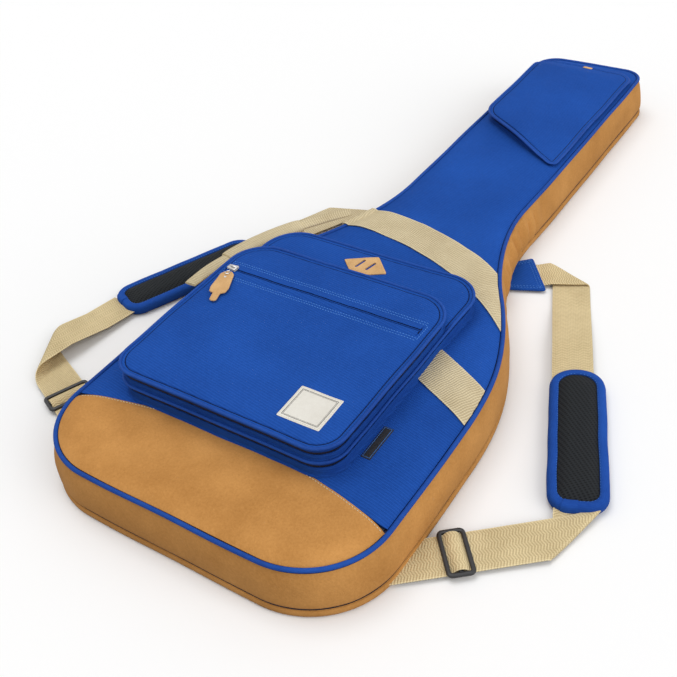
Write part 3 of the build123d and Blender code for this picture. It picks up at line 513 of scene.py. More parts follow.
def trim(loop, section, material, keep=None, swap=False):
    """Patches of a closed section of (margin, height) run round an outline, or along the part kept."""
    rings = np.array([levelled(grown(loop, margin), height) for margin, height in section])
    ends = []
    if keep is not None:
        rings = rings[:, kept_run(keep)]
        ends = [lid_over(rings[:, at], material) for at in (0, -1)]
    points, faces, uv, cloth = loft(rings, material, ring_closed=keep is None, section_closed=True)
    return [(points, faces, uv[:, ::-1] if swap else uv, cloth)] + ends


def cord_round(loop, radius, height, material, sides=12):
    """A patch of piping round an outline: height may follow the outline."""
    section = [(radius * c, height + radius * s) for c, s in spokes(np.arange(sides) * TURN / sides)]
    return trim(loop, section, material)


def tube(path, wide, thick, material, sides=10, way=None, up=UP, power=2.0, ring=False, uv=None):
    """Patches of a bar or a ring along points in space, round or squarer, with half widths given along it."""
    path = np.asarray(path, float)
    if way is None:
        way = unit(np.roll(path, -1, axis=0) - np.roll(path, 1, axis=0) if ring else np.gradient(path, axis=0))
    left = unit(np.cross(up, way))
    top = np.cross(way, left)
    c, s = (np.sign(spokes(np.arange(sides) * TURN / sides))
            * np.abs(spokes(np.arange(sides) * TURN / sides)) ** (2 / power)).T[..., None]
    wide, thick = (np.broadcast_to(v, len(path))[:, None, None] for v in (wide, thick))
    rings = path[:, None] + wide * c * left[:, None] + thick * s * top[:, None]
    patches = [loft(rings, material, section_closed=ring, uv=uv)]
    return patches if ring else patches + [lid_over(rings[at], material) for at in (0, -1)]


def webbing(surface, thick, material, uv=None, edge=0.45):
    """Patches of a woven strap: surface (rows, columns, 3) runs through its middle."""
    up = np.cross(np.gradient(surface, axis=1), np.gradient(surface, axis=0))
    up /= np.maximum(np.linalg.norm(up, axis=2), 1e-9)[..., None]
    if up[..., 2].mean() < 0:
        up = -up
    side = np.linspace(-1, 1, surface.shape[1])
    swell = (edge + (1 - edge) * np.sqrt(np.clip(1 - side ** 6, 0, 1)))[None, :, None] * thick / 2
    upper, lower = surface + up * swell, surface - up * swell
    if uv is None:
        uv = laid_flat(surface)
        uv[..., 0] -= uv[0, -1, 0] / 2
    patches = [loft(np.concatenate([upper, lower[:, ::-1]], axis=1), material,
                    uv=np.concatenate([uv, uv[:, ::-1], uv[:, :1]], axis=1))]
    for row in (0, -1):
        ends = np.stack([upper[row], lower[row]])
        patches.append(loft(ends, material, ring_closed=False, uv=np.stack([uv[row], uv[row]])))
    return patches


STITCH_RISE = np.array([-0.8, 0.35, 0.35, -0.8])  # a stitch's four points dip into the cloth at its ends
STITCH_TAPER = np.array([0.45, 1, 1, 0.45])


def stitches(rows, thread, length, gap, radius):
    """Patches of short raised stitches along rows of points in space."""
    patches = []
    for row in rows:
        run = run_of(row)
        for start in np.arange(gap, run[-1] - length, length + gap):
            line = read_off(np.linspace(start, start + length, 4), run, row)
            line[:, 2] += STITCH_RISE * radius
            size = STITCH_TAPER * radius
            patches += tube(line, size, size, thread, 6, np.broadcast_to(unit(line[-1] - line[0]), (4, 3)))
    return patches


def stitched_round(loop, inset, height, *thread_and_sizes):
    """Patches of a row of stitches round the inside of an outline."""
    return stitches([closed(levelled(grown(loop, -inset), height))], *thread_and_sizes)


def moved(patches, matrix):
    """The same patches turned and moved by a 4 by 4 matrix in millimetres."""
    m = np.array(matrix)
    return [(p @ m[:3, :3].T + m[:3, 3], f, uv, c) for p, f, uv, c in patches]


def place(origin, x_way, z_way=UP):
    """Matrix that sets a piece made at the origin into place."""
    x, z = Vector(x_way).normalized(), Vector(z_way).normalized()
    return Matrix.Translation(origin) @ Matrix((x, z.cross(x), z)).transposed().to_4x4()


def round_box(size, radius, material, centre=(0, 0, 0)):
    """A patch of a block with all its edges rounded."""
    made = bmesh.new()
    bmesh.ops.create_cube(made, size=1.0)
    for vertex in made.verts:
        vertex.co = Vector([a * b for a, b in zip(vertex.co, size)])
    bmesh.ops.bevel(made, geom=list(made.edges), offset=radius, segments=3, profile=0.5, affect="EDGES")
    made.verts.ensure_lookup_table()
    points = np.array([v.co[:] for v in made.verts])
    faces = [tuple(v.index for v in f.verts) for f in made.faces]
    made.free()
    return [(points + centre, faces, points[:, :2], material)]


def piece(name, body, patches, stands_for=(), sharp=40.0):
    """One Blender object from patches of (points in mm, faces, UV in mm, material), welded together."""
    points, faces, corners, picks, cloths, base = [], [], [], [], [], 0
    for patch, patch_faces, uv, cloth in patches:
        if cloth not in cloths:
            cloths.append(cloth)
        points.append(patch)
        faces += [tuple(i + base for i in face) for face in patch_faces]
        uv = np.asarray(uv)
        corners += [uv[list(face)] for face in patch_faces]
        picks += [cloths.index(cloth)] * len(patch_faces)
        base += len(patch)
    mesh = bpy.data.meshes.new(name)
    mesh.from_pydata((np.vstack(points) * MM).tolist(), [], faces)
    mesh.uv_layers.new(name="cloth").data.foreach_set("uv", (np.vstack(corners) * MM).ravel())
    for cloth in cloths:
        mesh.materials.append(cloth)
    mesh.polygons.foreach_set("material_index", picks)
    sewn = bmesh.new()
    sewn.from_mesh(mesh)
    bmesh.ops.remove_doubles(sewn, verts=sewn.verts, dist=2e-6)
    bmesh.ops.recalc_face_normals(sewn, faces=sewn.faces)
    sewn.to_mesh(mesh)
    sewn.free()
    mesh.shade_smooth()
    mesh.set_sharp_from_angle(angle=math.radians(sharp))
    made = in_scene(name, mesh)
    if stands_for:
        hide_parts(*stands_for)
    if body:
        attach(made, body)
    return made


def shaped(thing):
    """An object as its modifiers leave it."""
    return thing.evaluated_get(bpy.context.evaluated_depsgraph_get())


def swelled(padding, cloth, lay, play, voxel=4.0, pressure=4.0, frames=20):
    """Lets the stuffing press a cover out, each point by no more than `play`; `lay` places the cloth."""
    scene = bpy.context.scene
    trial = in_scene("swelling", padding.data.copy())
    grid = trial.modifiers.new("grid", "REMESH")
    grid.mode, grid.voxel_size = "VOXEL", voxel * MM
    even = bpy.data.meshes.new_from_object(shaped(trial))
    trial.modifiers.clear()
    trial.data = even
    cover = trial.modifiers.new("cover", "CLOTH")
    cover.settings.quality = 6
    cover.settings.use_pressure = True
    cover.settings.uniform_pressure_force = pressure
    cover.settings.effector_weights.gravity = 0
    cover.point_cache.frame_start, cover.point_cache.frame_end = 1, frames
    for frame_number in range(1, frames + 1):
        scene.frame_set(frame_number)
    start, end = (np.array([v.co for v in mesh.vertices]) for mesh in (even, shaped(trial).to_mesh()))
    move = end - start
    far = np.maximum(np.linalg.norm(move, axis=1), 1e-9)
    move *= (np.minimum(far, play(start / MM) * MM) / far)[:, None]
    trial.modifiers.clear()
    scene.frame_set(1)
    even.vertices.foreach_set("co", (start + move).ravel())
    even.update()
    trial.modifiers.new("finer", "SUBSURF").levels = 1
    made = bpy.data.meshes.new_from_object(shaped(trial))
    made.materials.clear()
    made.materials.append(cloth)
    corners = np.array([made.vertices[corner.vertex_index].co for corner in made.loops])
    made.uv_layers.new(name="cloth").data.foreach_set("uv", (lay(corners / MM) * MM).ravel())
    made.polygons.foreach_set("material_index", [0] * len(made.polygons))
    made.polygons.foreach_set("use_smooth", [True] * len(made.polygons))
    padding.data = made
    bpy.data.objects.remove(trial)


# ---------------------------------------------------------------- the bag's own sizes, in millimetres
BAG_CORNERS = [(-202, 0), (202, 0), (202, 352), (84, 541), (84, 1080), (-84, 1080), (-84, 541), (-202, 352)]
BAG_RADII = [90, 90, 400, 345, 32, 32, 345, 400]
FOOT_OUT = 8.0  # how far the wall's foot stands out past the bag's outline
PIPING_R, POCKET_CORD_R = 2.5, 1.8
WEBBING_THICK = 1.9
BAND_HALF, UPPER_STRAP_HALF, LOWER_STRAP_HALF = 24.0, 23.0, 24.0
POCKET_LEFT, POCKET_RIGHT, POCKET_FOOT = -158.0, 128.0, 106.0
LARGE_TOP, SMALL_TOP = 434.0, 368.0
POCKET_RADII = [32, 32, 43, 43]
NECK_POCKET = [(-74, 838), (76, 742), (76, 1052), (-74, 1052)]
NECK_POCKET_RADII = [44, 8, 24, 24]
FACE_ZIP_Y = 306.0
SLIT_MORE = 0.9  # what a pocket's wall and cover each draw back to show the zip between them
REST_MIDDLE_Y = 850
HANDLE_TOP, HANDLE_MIDDLE, HANDLE_FOOT = (-118.17, 527.0), (-190.8, 424.2), (-211.55, 300.0)
HANDLE_DROOP = 9.0  # degrees that the handle's middle hangs below its ends

PIPING_Z = middle("front_piping")[2]
PANEL_TOP = high("front_panel")[2]

bag = rounded_loop(BAG_CORNERS, BAG_RADII, 5.0)
bag = grown(bag, 0.9 * ripple(bag, 170, 11))
panel_edge = grown(bag, -3.2)


def above(level, height):
    """The same level function, higher by a height."""
    return lambda points: level(points) + height


def raised(grid, z):
    """A grid in plan lifted to its points' heights."""
    return np.concatenate([grid, z.reshape(*grid.shape[:2], 1)], axis=2)


def front_level(points):
    """Height of the padded front over points in plan."""
    depth = depth_in(points, panel_edge)
    puckers = 0.4 * ripple(points, 19, 5) * np.exp(-depth / 14)
    hills = 0.6 * ripple(points, 90, 3) + 0.25 * ripple(points, 32, 4) - 0.6 + puckers
    return PIPING_Z + 0.4 + (PANEL_TOP - PIPING_Z - 0.5 + hills) * crowned(depth, 30, 2.2)


def pocket_loop(corners, radii, seed):
    """A pocket's outline with the slight give of sewn cloth."""
    loop = rounded_loop(corners, radii, 4.0)
    return grown(loop, 0.7 * ripple(loop, 95, seed))


def face_of(loop, node, seed, crown=22.0, drop=1.9):
    """A pocket face's height: it dips to its piping and swells a little between."""
    rim, top = grown(loop, -1.8), high(node)[2]

    def level(points):
        depth = depth_in(points, rim)
        give = 0.22 * ripple(points, 70, seed) + 0.12 * ripple(points, 24, seed + 1) \
            + 0.3 * ripple(points, 17, seed + 2) * np.exp(-depth / 9)
        groove = 1.5 * np.exp(-((depth - 3.7) / 0.8) ** 2)
        return top - drop + (drop + give - 0.15) * crowned(depth, crown, 2.4) - groove
    return level


large, small = (pocket_loop([(POCKET_LEFT, POCKET_FOOT), (POCKET_RIGHT, POCKET_FOOT), (POCKET_RIGHT, top),
                             (POCKET_LEFT, top)], POCKET_RADII, 21) for top in (LARGE_TOP, SMALL_TOP))
neck = pocket_loop(NECK_POCKET, NECK_POCKET_RADII, 24)
large_face = face_of(large, "large_pocket_cover", 31)
small_face = face_of(small, "front_pocket_cover", 33)
neck_face = face_of(neck, "neck_pocket_cover", 35)


# ---------------------------------------------------------------- tray: back, edge strip, zip and neck rest
def make_tray():
    """Everything that lies on the ground and stays there when the lid opens."""
    back = slab(grown(bag, 1.9), 9.0, [(0.0, 8.0), (0.0, 1.0), (-1.5, 0.0)], FOAM, TWILL, TWILL, spacing=22,
                insets=(4,))
    piece("back_cushion", "tray", back, ["back_panel"])
    cloth = slab(grown(bag, -1.5), lambda p: 9.9 + 0.3 * ripple(p, 60, 8), [(0.0, 9.5), (0.0, 9.1)], LINING,
                 spacing=16, insets=(4,))
    piece("back_cloth_inside", "tray", cloth, ["back_lining"])
    strip = [(6.4, 0.0), (7.9, 1.2), (8.5, 3.6), (8.4, 6.2), (7.8, 8.3), (6.4, 9.0), (2.0, 9.0), (2.0, 0.0)]
    piece("edge_strip", "tray", trim(bag, strip, SUEDE), ["back_edge_strip"])
    hinge = (bag[:, 0] > 0) & (bag[:, 1] > 202) & (bag[:, 1] < 352)
    coil = [(5.9, 9.1), (6.5, 9.5), (6.5, 10.3), (5.9, 10.7), (3.5, 10.7), (3.5, 9.1)]
    piece("zip_coil_back", "tray", trim(bag, coil, ZIP_COIL, ~hinge, swap=True), ["main_zip_back"])
    piece("zip_coil_front", "lid", trim(bag, [(m, z + 1.9) for m, z in coil], ZIP_COIL, swap=True),
          ["main_zip_front"])
    side = np.where(hinge)[0][2:-2]
    strip = np.stack([levelled(grown(bag, m)[side], z)
                      for m, z in ((5.0, 9.1), (5.8, 10.2), (5.8, 11.6), (5.0, 12.9))], axis=1)
    hinge_cloth = piece("hinge_cloth", None, webbing(strip, 0.8, GUSSET), ["hinge_strip"])
    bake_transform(hinge_cloth)



def make_neck_rest():
    """The foam block under the guitar's neck, with its groove and its strap."""
    rest = turned_box((0, REST_MIDDLE_Y), (112, 60), 0.0, 9, 3.0)
    rest_top = high("neck_rest")[2]
    groove_r, groove_rise = 34, 22

    def rest_level(points):
        round_neck = np.sqrt(np.clip(groove_r ** 2 - points[:, 0] ** 2, 0, None))
        groove = np.clip(rest_top + groove_rise - round_neck, 0, rest_top)
        return groove - 4.5 * (1 - crowned(depth_in(points, rest), 9)) - 0.4

    def rest_play(points):
        beside_strap = np.clip((np.abs(points[:, 1] - REST_MIDDLE_Y) - 22) / 6, 0, 1)
        return 1.6 * beside_strap * np.clip((points[:, 2] - 13) / 4, 0, 1)
    block = slab(rest, rest_level, [(1.2, 24), (1.4, 17), (0.6, 11.5), (0, 10.5)], FOAM, spacing=4,
                 insets=(1.5, 3, 5, 7))
    cushion = piece("neck_cushion", "tray", block, ["neck_rest"])
    swelled(cushion, FOAM, lambda points: points[:, :2], rest_play)
    over = [(-58, 10.6), (-58, 20), (-57.6, 31), (-55, 33.8), (-30, 34), (0, 33.6), (30, 34), (55, 33.8),
            (57.6, 31), (58, 20), (58, 10.6)]
    x, z = read_off(np.linspace(0, len(over) - 1, 90), range(len(over)), over).T
    strap = sheet(x[:, None], REST_MIDDLE_Y + np.linspace(-19, 19, 7), z[:, None])
    piece("neck_cushion_strap", "tray", webbing(strap, 1.4, WEBBING), ["neck_strap"])


# ---------------------------------------------------------------- lid: wall, front, piping
def make_wall():
    """The leaning suede wall between the zip and the front piping, cloth inside."""
    foot, top = low("side_wall")[2] - 0.9, high("side_wall")[2]
    run = run_of(bag)[:, None]
    waist = np.exp(-((bag[:, 1] - 565) / 85) ** 2) * (bag[:, 0] > 0)
    heel = np.exp(-((bag[:, 1] - 40) / 40) ** 2) * (np.abs(bag[:, 0]) > 120)
    folds = 8.0 * (np.abs(ripple(run, 34, 41)) - 0.25) * waist + 1.5 * ripple(run, 46, 42) * heel
    rings = []
    for t in (0, 0.03, 0.08, 0.16, 0.25, 0.35, 0.45, 0.55, 0.65, 0.75, 0.84, 0.91, 0.96, 1.0):
        z = foot + (top - foot) * t
        bulge = math.sin(math.pi * t)
        margin = FOOT_OUT - 7 * t + 2.6 * bulge ** 0.8 - 1.6 * max(0, 1 - t / 0.04)
        spot = levelled(bag, 2.2 * z)
        sway = (0.75 * ripple(spot, 110, 43) + 0.35 * ripple(spot, 42, 44) + folds) * bulge ** 0.6
        rings.append(levelled(grown(bag, margin + sway), z))
    behind = ((-1.5, top), (-6.6, top - 0.2), (-6.2, top - 8), (-2.6, foot + 12), (0.2, foot + 0.2))
    inner = [rings[-1], *(levelled(grown(bag, margin), z) for margin, z in behind), rings[0]]
    wall = piece("side_wall_suede", "lid", [loft(rings, SUEDE), loft(inner, LINING)], ["side_wall"])


def seam_y(x):
    """Where the suede and the twill meet on the front."""
    return 116 - 34 * (x / 210) ** 2


def cut_at_seam(loop, upper):
    """The part of an outline above or below the front's seam, closed along it."""
    part = loop[kept_run((loop[:, 1] > seam_y(loop[:, 0])) == upper)]
    off = part[:, 1] - seam_y(part[:, 0])
    x, lift, share = np.linspace([part[-1, 0], off[-1], -1], [part[0, 0], off[0], 1], 80)[1:-1].T
    return np.vstack([part, np.column_stack([x, seam_y(x) + lift * np.abs(share) ** 20])])


def make_front():
    """The twill front and its suede lower panel, their piping, and the padding behind."""
    for name, upper, cloth, node, slot in (("front_twill", True, TWILL, "front_panel", "twill"),
                                           ("front_suede", False, SUEDE, "suede_panel", "suede")):
        def level(points):
            off = np.abs(points[:, 1] - seam_y(points[:, 0]))
            return front_level(points) - 1.3 * np.exp(-(off / 3.0) ** 2) + (0 if upper else 0.15)
        panel = slab(cut_at_seam(panel_edge, upper), level, [(-0.4, 59.6), (-0.8, 58.3)], cloth, spacing=7.5,
                     insets=(1.6, 4, 7.5, 12, 18))
        piece(name, "lid", panel, [node])
    height = PIPING_Z + 0.5 * ripple(bag, 120, 51)
    piece("front_edge_piping", "lid", cord_round(bag, PIPING_R, height, PIPING, 14), ["front_piping"])
    padding = slab(grown(bag, -7.2), 57.6, [(0, 56.8), (0, 54.2), (-1.5, 53.2)], FOAM, LINING, LINING,
                   spacing=18, insets=(4,))
    piece("front_foam", "lid", padding, ["front_padding"])
    x = np.linspace(-196, 196, 150)
    line = sheet(x, seam_y(x) - 2.6)
    line = line[inside(line, grown(bag, -6))]
    row = levelled(line, front_level(line) - 0.2)
    piece("front_seam_stitches", "lid", stitches([row], CREAM_THREAD, 2.6, 1.2, 0.42))


# ---------------------------------------------------------------- webbing on the front and the handle
def arc_through(a, b, c, count):
    """Points along the circle through three points."""
    a, b, c = (np.array(p, float) for p in (a, b, c))
    centre = np.linalg.solve(2 * np.array([b - a, c - a]), [b @ b - a @ a, c @ c - a @ a])
    angles = np.unwrap([bearing(p - centre) for p in (a, b, c)])
    return centre + np.linalg.norm(a - centre) * spokes(np.linspace(angles[0], angles[2], count))


def rounded_path(points, passes=3):
    """A path with its corners cut smooth."""
    path = np.array(points, float)
    for _ in range(passes):
        cut = np.empty((2 * len(path) - 2, path.shape[1]))
        cut[0::2] = 0.75 * path[:-1] + 0.25 * path[1:]
        cut[1::2] = 0.25 * path[:-1] + 0.75 * path[1:]
        path = np.vstack([path[:1], cut, path[-1:]])
    return path


def evenly(path, step):
    """The path's points set out again at an even step."""
    run = run_of(path)
    return read_off(np.linspace(0, run[-1], max(2, round(run[-1] / step))), run, path)


def laid_band(path, left_margin=3.0, rows=150, columns=13):
    """The middle surface of webbing laid over the front from one edge of the bag to the other."""
    way = unit(np.gradient(path, axis=0))
    left, run = np.column_stack([-way[:, 1], way[:, 0]]), run_of(path)
    right_edge, left_edge = grown(bag, -2.6), grown(bag, left_margin)
    strips = []
    for w in np.linspace(-BAND_HALF, BAND_HALF, columns):
        line = path + left * w
        ok = np.where(line[:, 0] < 0, inside(line, left_edge), inside(line, right_edge))
        first = last = np.argmin(np.abs(line[:, 0]))
        while first > 0 and ok[first - 1]:
            first -= 1
        while last < len(line) - 1 and ok[last + 1]:
            last += 1
        marked = np.column_stack([line, np.full(len(line), w), run])
        strips.append(read_off(np.linspace(first, last, rows), range(len(line)), marked))
    strips = np.stack(strips, axis=1)
    flat = strips[..., :2].reshape(-1, 2)
    edge_lift = np.tile(0.35 * np.abs(np.linspace(-1, 1, columns)) ** 3, rows)
    on_front = front_level(flat) + 1.15 + 0.25 * ripple(flat, 60, 61) + edge_lift
    near, on_left = reach(flat, bag), flat[:, 0] < 0
    over = PIPING_Z + PIPING_R + 1.3
    over_piping = over - np.where(on_left, 0.9 * np.clip(near - 2.2, 0, 3) ** 1.3, 9)
    past_edge = over - 0.03 * np.clip(near - 3, 0, None) ** 2
    z = np.where(inside(flat, grown(bag, 0.5)), np.maximum(on_front, over_piping), past_edge)
    return raised(strips[..., :2], z), strips[..., 2:]


def turned_under(surface, uv, radius=2.2, back=9.0, steps=9):
    """Adds a roll to the first row of a band: it goes round and back under itself."""
    way = surface[0] - surface[3]
    way[:, 2] = 0
    way = unit(way)
    rows, marks = [], []
    for angle in math.pi * np.arange(steps, 0, -1) / steps:
        rows.append(surface[0] + way * radius * math.sin(angle) - [0, 0, radius * (1 - math.cos(angle))])
        marks.append(uv[0] - [0, radius * angle])
    tail = [rows[0] - way * back * share for share in (1.0, 0.5)]
    tail_marks = [marks[0] - [0, back * share] for share in (1.0, 0.5)]
    return np.concatenate([tail, rows, surface]), np.concatenate([tail_marks, marks, uv])


def make_bands():
    """The two bands across the front; their left ends roll round the ends of the handle."""
    upper = arc_through((-202, 519), (25, 505), (202, 392), 700)
    upper = np.vstack([upper[0] + (upper[0] - upper[5]) * 3, upper, upper[-1] + (upper[-1] - upper[-6]) * 5])
    lower = rounded_path([(-262, 297), (-120, 325), (20, 355), (130, 302), (240, 249)], 4)
    for name, path in (("upper_band", upper), ("lower_band", lower)):
        surface, uv = turned_under(*laid_band(evenly(path, 1.0)))
        piece(f"{name}_webbing", "lid", webbing(surface, WEBBING_THICK, RIB_WEBBING, uv), [name],
              sharp=60)


def rolled(path, wide, thick, power=2.6, sides=20):
    """Patches of webbing rolled to a soft oval bar, with half widths given along it."""
    u = np.interp(np.arange(sides + 1), [0, sides / 2, sides], [-1, 1, -1]) * float(np.mean(wide)) * 1.1
    return tube(path, wide, thick, RIB_WEBBING, sides, power=power, uv=sheet(u, run_of(path)[:, None]))


def make_handle():
    """The rolled webbing carry handle and the sleeve round its middle."""
    flat, top = arc_through(HANDLE_TOP, HANDLE_MIDDLE, HANDLE_FOOT, 110), np.array(HANDLE_TOP)
    chord = unit(np.array(HANDLE_FOOT) - top)
    on_chord = top + ((flat - top) @ chord)[:, None] * chord
    bow, droop = flat - on_chord, math.radians(HANDLE_DROOP)
    path = levelled(on_chord + bow * math.cos(droop),
                    middle("carry_handle")[2] - np.linalg.norm(bow, axis=1) * math.sin(droop))
    t = np.linspace(0, 1, len(path))
    ends = np.clip(1 - np.minimum(t, 1 - t) / 0.12, 0, 1)
    bar = rolled(path, 9.6 - 1.6 * ends + 0.25 * np.sin(t * 40), 2.9 - 1.2 * ends)
    piece("handle_webbing", "handle", bar, ["carry_handle"])
    part = path[(t > 0.27) & (t < 0.73)]
    s = np.linspace(-1, 1, len(part))
    swell = 1 + 0.06 * (1 - s ** 2) - 0.1 * np.abs(s) ** 12
    left = unit(np.cross(UP, unit(np.gradient(part, axis=0))))
    rows = [part[4:-4] + left[4:-4] * off + [0, 0, 5.3] for off in (-6.2, 6.2)]
    sleeve = rolled(part, 12.4 * swell, 5.4 * swell, 2.9) + stitches(rows, CREAM_THREAD, 2.6, 1.4, 0.3)
    piece("handle_sleeve", "handle", sleeve, ["handle_grip"])


# ---------------------------------------------------------------- pockets
def ease(share):
    """A share from 0 to 1 with soft ends."""
    share = np.clip(share, 0, 1)
    return share * share * (3 - 2 * share)


def flattened(patches):
    """The neck pocket's patches pressed down towards the seams on its right and at its top."""
    out = []
    for points, faces, uv, cloth in patches:
        keep = (1 - 0.68 * ease((points[:, 0] + 15) / 85)) * (1 - 0.6 * ease((points[:, 1] - 1012) / 40))
        ground = front_level(points[:, :2])
        z = ground + (points[:, 2] - ground) * np.where(points[:, 2] > ground, keep, 1)
        out.append((levelled(points[:, :2], z), faces, uv, cloth))
    return out


def make_pocket(name, fixed, cover, loop, ground, face, seed, extra=(), settle=list):
    """A pocket: its wall sewn to what is under it, its coil zip, and its cover with the piping round it."""
    base = above(ground, 0.15)
    top = high(f"{name}_wall")[2] - SLIT_MORE
    half_way = (float(np.mean(base(loop))) + top) / 2
    wall = [(0.2, base), (-1.6, above(base, 0.9)), (-2.2, above(base, 2.0)), (-1.5, half_way + 0.6),
            (-2.0, top - 1.2), (-2.6, top), (-5.3, top), (-5.3, base)]
    piece(f"{name}_gusset", fixed, settle(trim(loop, wall, GUSSET)), [f"{name}_wall"])

    z0, z1 = low(f"{name}_zip")[2] - SLIT_MORE - 0.1, high(f"{name}_zip")[2] + SLIT_MORE + 0.1
    coil = [(-3.7, z0), (-3.3, z0 + 0.4), (-3.3, z1 - 0.4), (-3.7, z1), (-5.1, z1), (-5.1, z0)]
    piece(f"{name}_coil", fixed, settle(trim(loop, coil, ZIP_COIL, swap=True)), [f"{name}_zip"])

    bottom, top = low(f"{name}_cover")[2] + SLIT_MORE, high(f"{name}_cover")[2]
    rim = [(0.1, top - 3.4), (0.35, (top - 2.0 + bottom) / 2), (0.2, bottom + 1.4), (-0.5, bottom),
           (-3.4, bottom), (-3.6, top - 4.2)]
    # A thin dark navy cord in the groove just inside the piping: painted shade standing in for the seam groove's
    # shadow.
    seam = grown(loop, -5.5)
    painted_groove_shade = cord_round(seam, 0.55, face(seam) + 0.4, ZIP_TAPE_AND_GROOVE_SHADE, 6)
    shell = slab(grown(loop, -2.0), face, rim, TWILL, GUSSET, LINING, spacing=6.5,
                 insets=(1.4, 2.7, 3.7, 4.7, 7, 11, 15), under=top - 3.8)
    piece(f"{name}_face", cover, settle(shell + painted_groove_shade + list(extra)), [f"{name}_cover"])

    z = middle(f"{name}_piping")[2]
    cord = cord_round(loop, POCKET_CORD_R, z + 0.2 * ripple(loop, 80, seed), PIPING)
    flange = trim(loop, [(-1.2, z - 0.4), (-1.0, z - 2.6), (-2.6, z - 3.0), (-2.8, z - 0.4)], PIPING)
    piece(f"{name}_cord", cover, settle(cord + flange), [f"{name}_piping"])


def face_zip_lips():
    """The two folds of cloth that cover the zip across the front pocket's face."""
    x = np.arange(-147, 114, 4.0)
    patches = []
    for side in (-1, 1):
        grid = sheet(x[:, None], FACE_ZIP_Y + side * np.linspace(1.9, 9.6, 6))
        flat = grid.reshape(-1, 2)
        rise = np.tile([1.2, 1.3, 1.1, 0.7, 0.3, -0.1], len(x))
        z = small_face(flat) + rise + 0.08 * ripple(flat, 18, 71)
        patches += webbing(raised(grid, z), 1.0, TWILL, uv=grid)
    return patches


def make_face_zip():
    """The zip across the front pocket's face and the rows of stitches round it."""
    x = np.arange(-150, 116.5, 4.0)
    tape = sheet(x[:, None], FACE_ZIP_Y + np.linspace(-4.2, 4.2, 5))
    tape = webbing(raised(tape, small_face(tape.reshape(-1, 2)) + 0.25), 0.4, ZIP_TAPE_AND_GROOVE_SHADE)
    coil = tube(levelled(sheet(x, FACE_ZIP_Y), above(small_face, 0.55)), 0.9, 0.9, GUSSET, 8)
    piece("face_zip_coil", "front_cover", tape + coil, ["face_zip"])
    lines = [sheet(np.arange(-151, 118, 3.0), FACE_ZIP_Y + off) for off in (-15.6, -12.0, 11.8, 15.4)]
    lines += [sheet(end, FACE_ZIP_Y + np.linspace(-14.4, 14.2, 10)) for end in (-152.0, 117.0)]
    rows = [levelled(line, above(small_face, 0.18)) for line in lines]
    piece("face_zip_stitches", "front_cover", stitches(rows, BLUE_THREAD, 2.6, 1.0, 0.4))


def make_pockets():
    """The stacked pockets on the body and the one on the neck."""
    make_pocket("large_pocket", "lid", "large_cover", large, front_level, large_face, 81)
    make_pocket("front_pocket", "large_cover", "front_cover", small, large_face, small_face, 82, face_zip_lips())
    make_pocket("neck_pocket", "lid", "neck_cover", neck, front_level, neck_face, 83, settle=flattened)
    make_face_zip()


# ---------------------------------------------------------------- labels, tabs and leather
def patch_on(loop, level, thick, cloth, spacing=5.0):
    """Patches of a thin sewn patch that follows the face under it."""
    def top(points):
        return level(points) + thick * (0.72 + 0.28 * np.clip(depth_in(points, loop) / 1.2, 0, 1))
    return slab(loop, top, [(0.12, above(level, thick * 0.4)), (0.0, above(level, 0.05))], cloth,
                spacing=spacing, insets=(0.8, 1.6))


def frame_line(loop, wide, level, lift, cloth):
    """A thin woven line that runs round a label."""
    upper, lower = above(level, lift), above(level, lift - 0.25)
    return trim(loop, [(0.0, upper), (-wide, upper), (-wide, lower), (0.0, lower)], cloth)


def make_lash_tab():
    """The five-sided leather patch with two slots, sewn to the large pocket."""
    outline = rounded_loop([(-31, 389), (-7, 388), (14, 401), (-12, 427), (-47, 404)], [1.2] * 5, 1.6)
    base, seam_in = above(large_face, 0.1), 2.6

    def top(points):
        depth = depth_in(points, outline)
        return base(points) + 1.2 + 0.5 * crowned(depth, 1.0) - 0.35 * np.exp(-(depth - seam_in) ** 2)
    slots = [turned_box((x, 404.6), (18.0, 3.9), 78.0, 1.7, 0.8) for x in (-24.5, -10.0)]
    points, faces = plan(outline, 2.6, (0.8, 1.8, seam_in, 3.4), slots)
    under, under_faces = plan(outline, 5.0, (), slots)
    patches = [(levelled(points, top), faces, points, LEATHER),
               (levelled(under, base), under_faces, under, LEATHER)]
    patches += [loft([levelled(edge, top), levelled(edge, base)], LEATHER) for edge in (outline, *slots)]
    patches += stitched_round(outline, seam_in, above(base, 1.4), TAN_THREAD, 1.9, 1.1, 0.24)
    piece("lash_leather", "large_cover", patches, ["lash_tab"])


LABEL_AT, TAG_AT, NECK_TAB_AT = (76, 152), (136.5, 176), (3, 1045.2)


def make_labels():
    """The bare labels and the small leather tab on the neck pocket."""
    label = turned_box(LABEL_AT, (50, 47), 1.0, 1.2)
    patches = patch_on(label, small_face, 0.85, LABEL_CLOTH)
    for size, wide in (((43.0, 40.0), 0.55), ((40.4, 37.4), 0.3)):
        patches += frame_line(turned_box(LABEL_AT, size, 1.0, 0.8), wide, small_face, 0.93, LABEL_INK)
    patches += stitched_round(label, 1.3, above(small_face, 0.85), CREAM_THREAD, 1.9, 0.9, 0.22)
    piece("cream_label", "front_cover", patches, ["white_label"])
    tag = patch_on(turned_box(TAG_AT, (11, 47), 0.0, 0.8), front_level, 0.8, BLACK_LABEL)
    line = frame_line(turned_box(TAG_AT, (8.6, 44.6), 0.0, 0.7), 0.35, front_level, 0.86, BLUE_THREAD)
    piece("black_label", "lid", tag + line, ["side_label"])
    make_lash_tab()
    tab = patch_on(turned_box(NECK_TAB_AT, (14, 9), 0.0, 2.2, 1.0), above(neck_face, 0.1), 1.9, LEATHER, 2.5)
    piece("neck_leather_tab", "neck_cover", flattened(tab), ["neck_tab"])


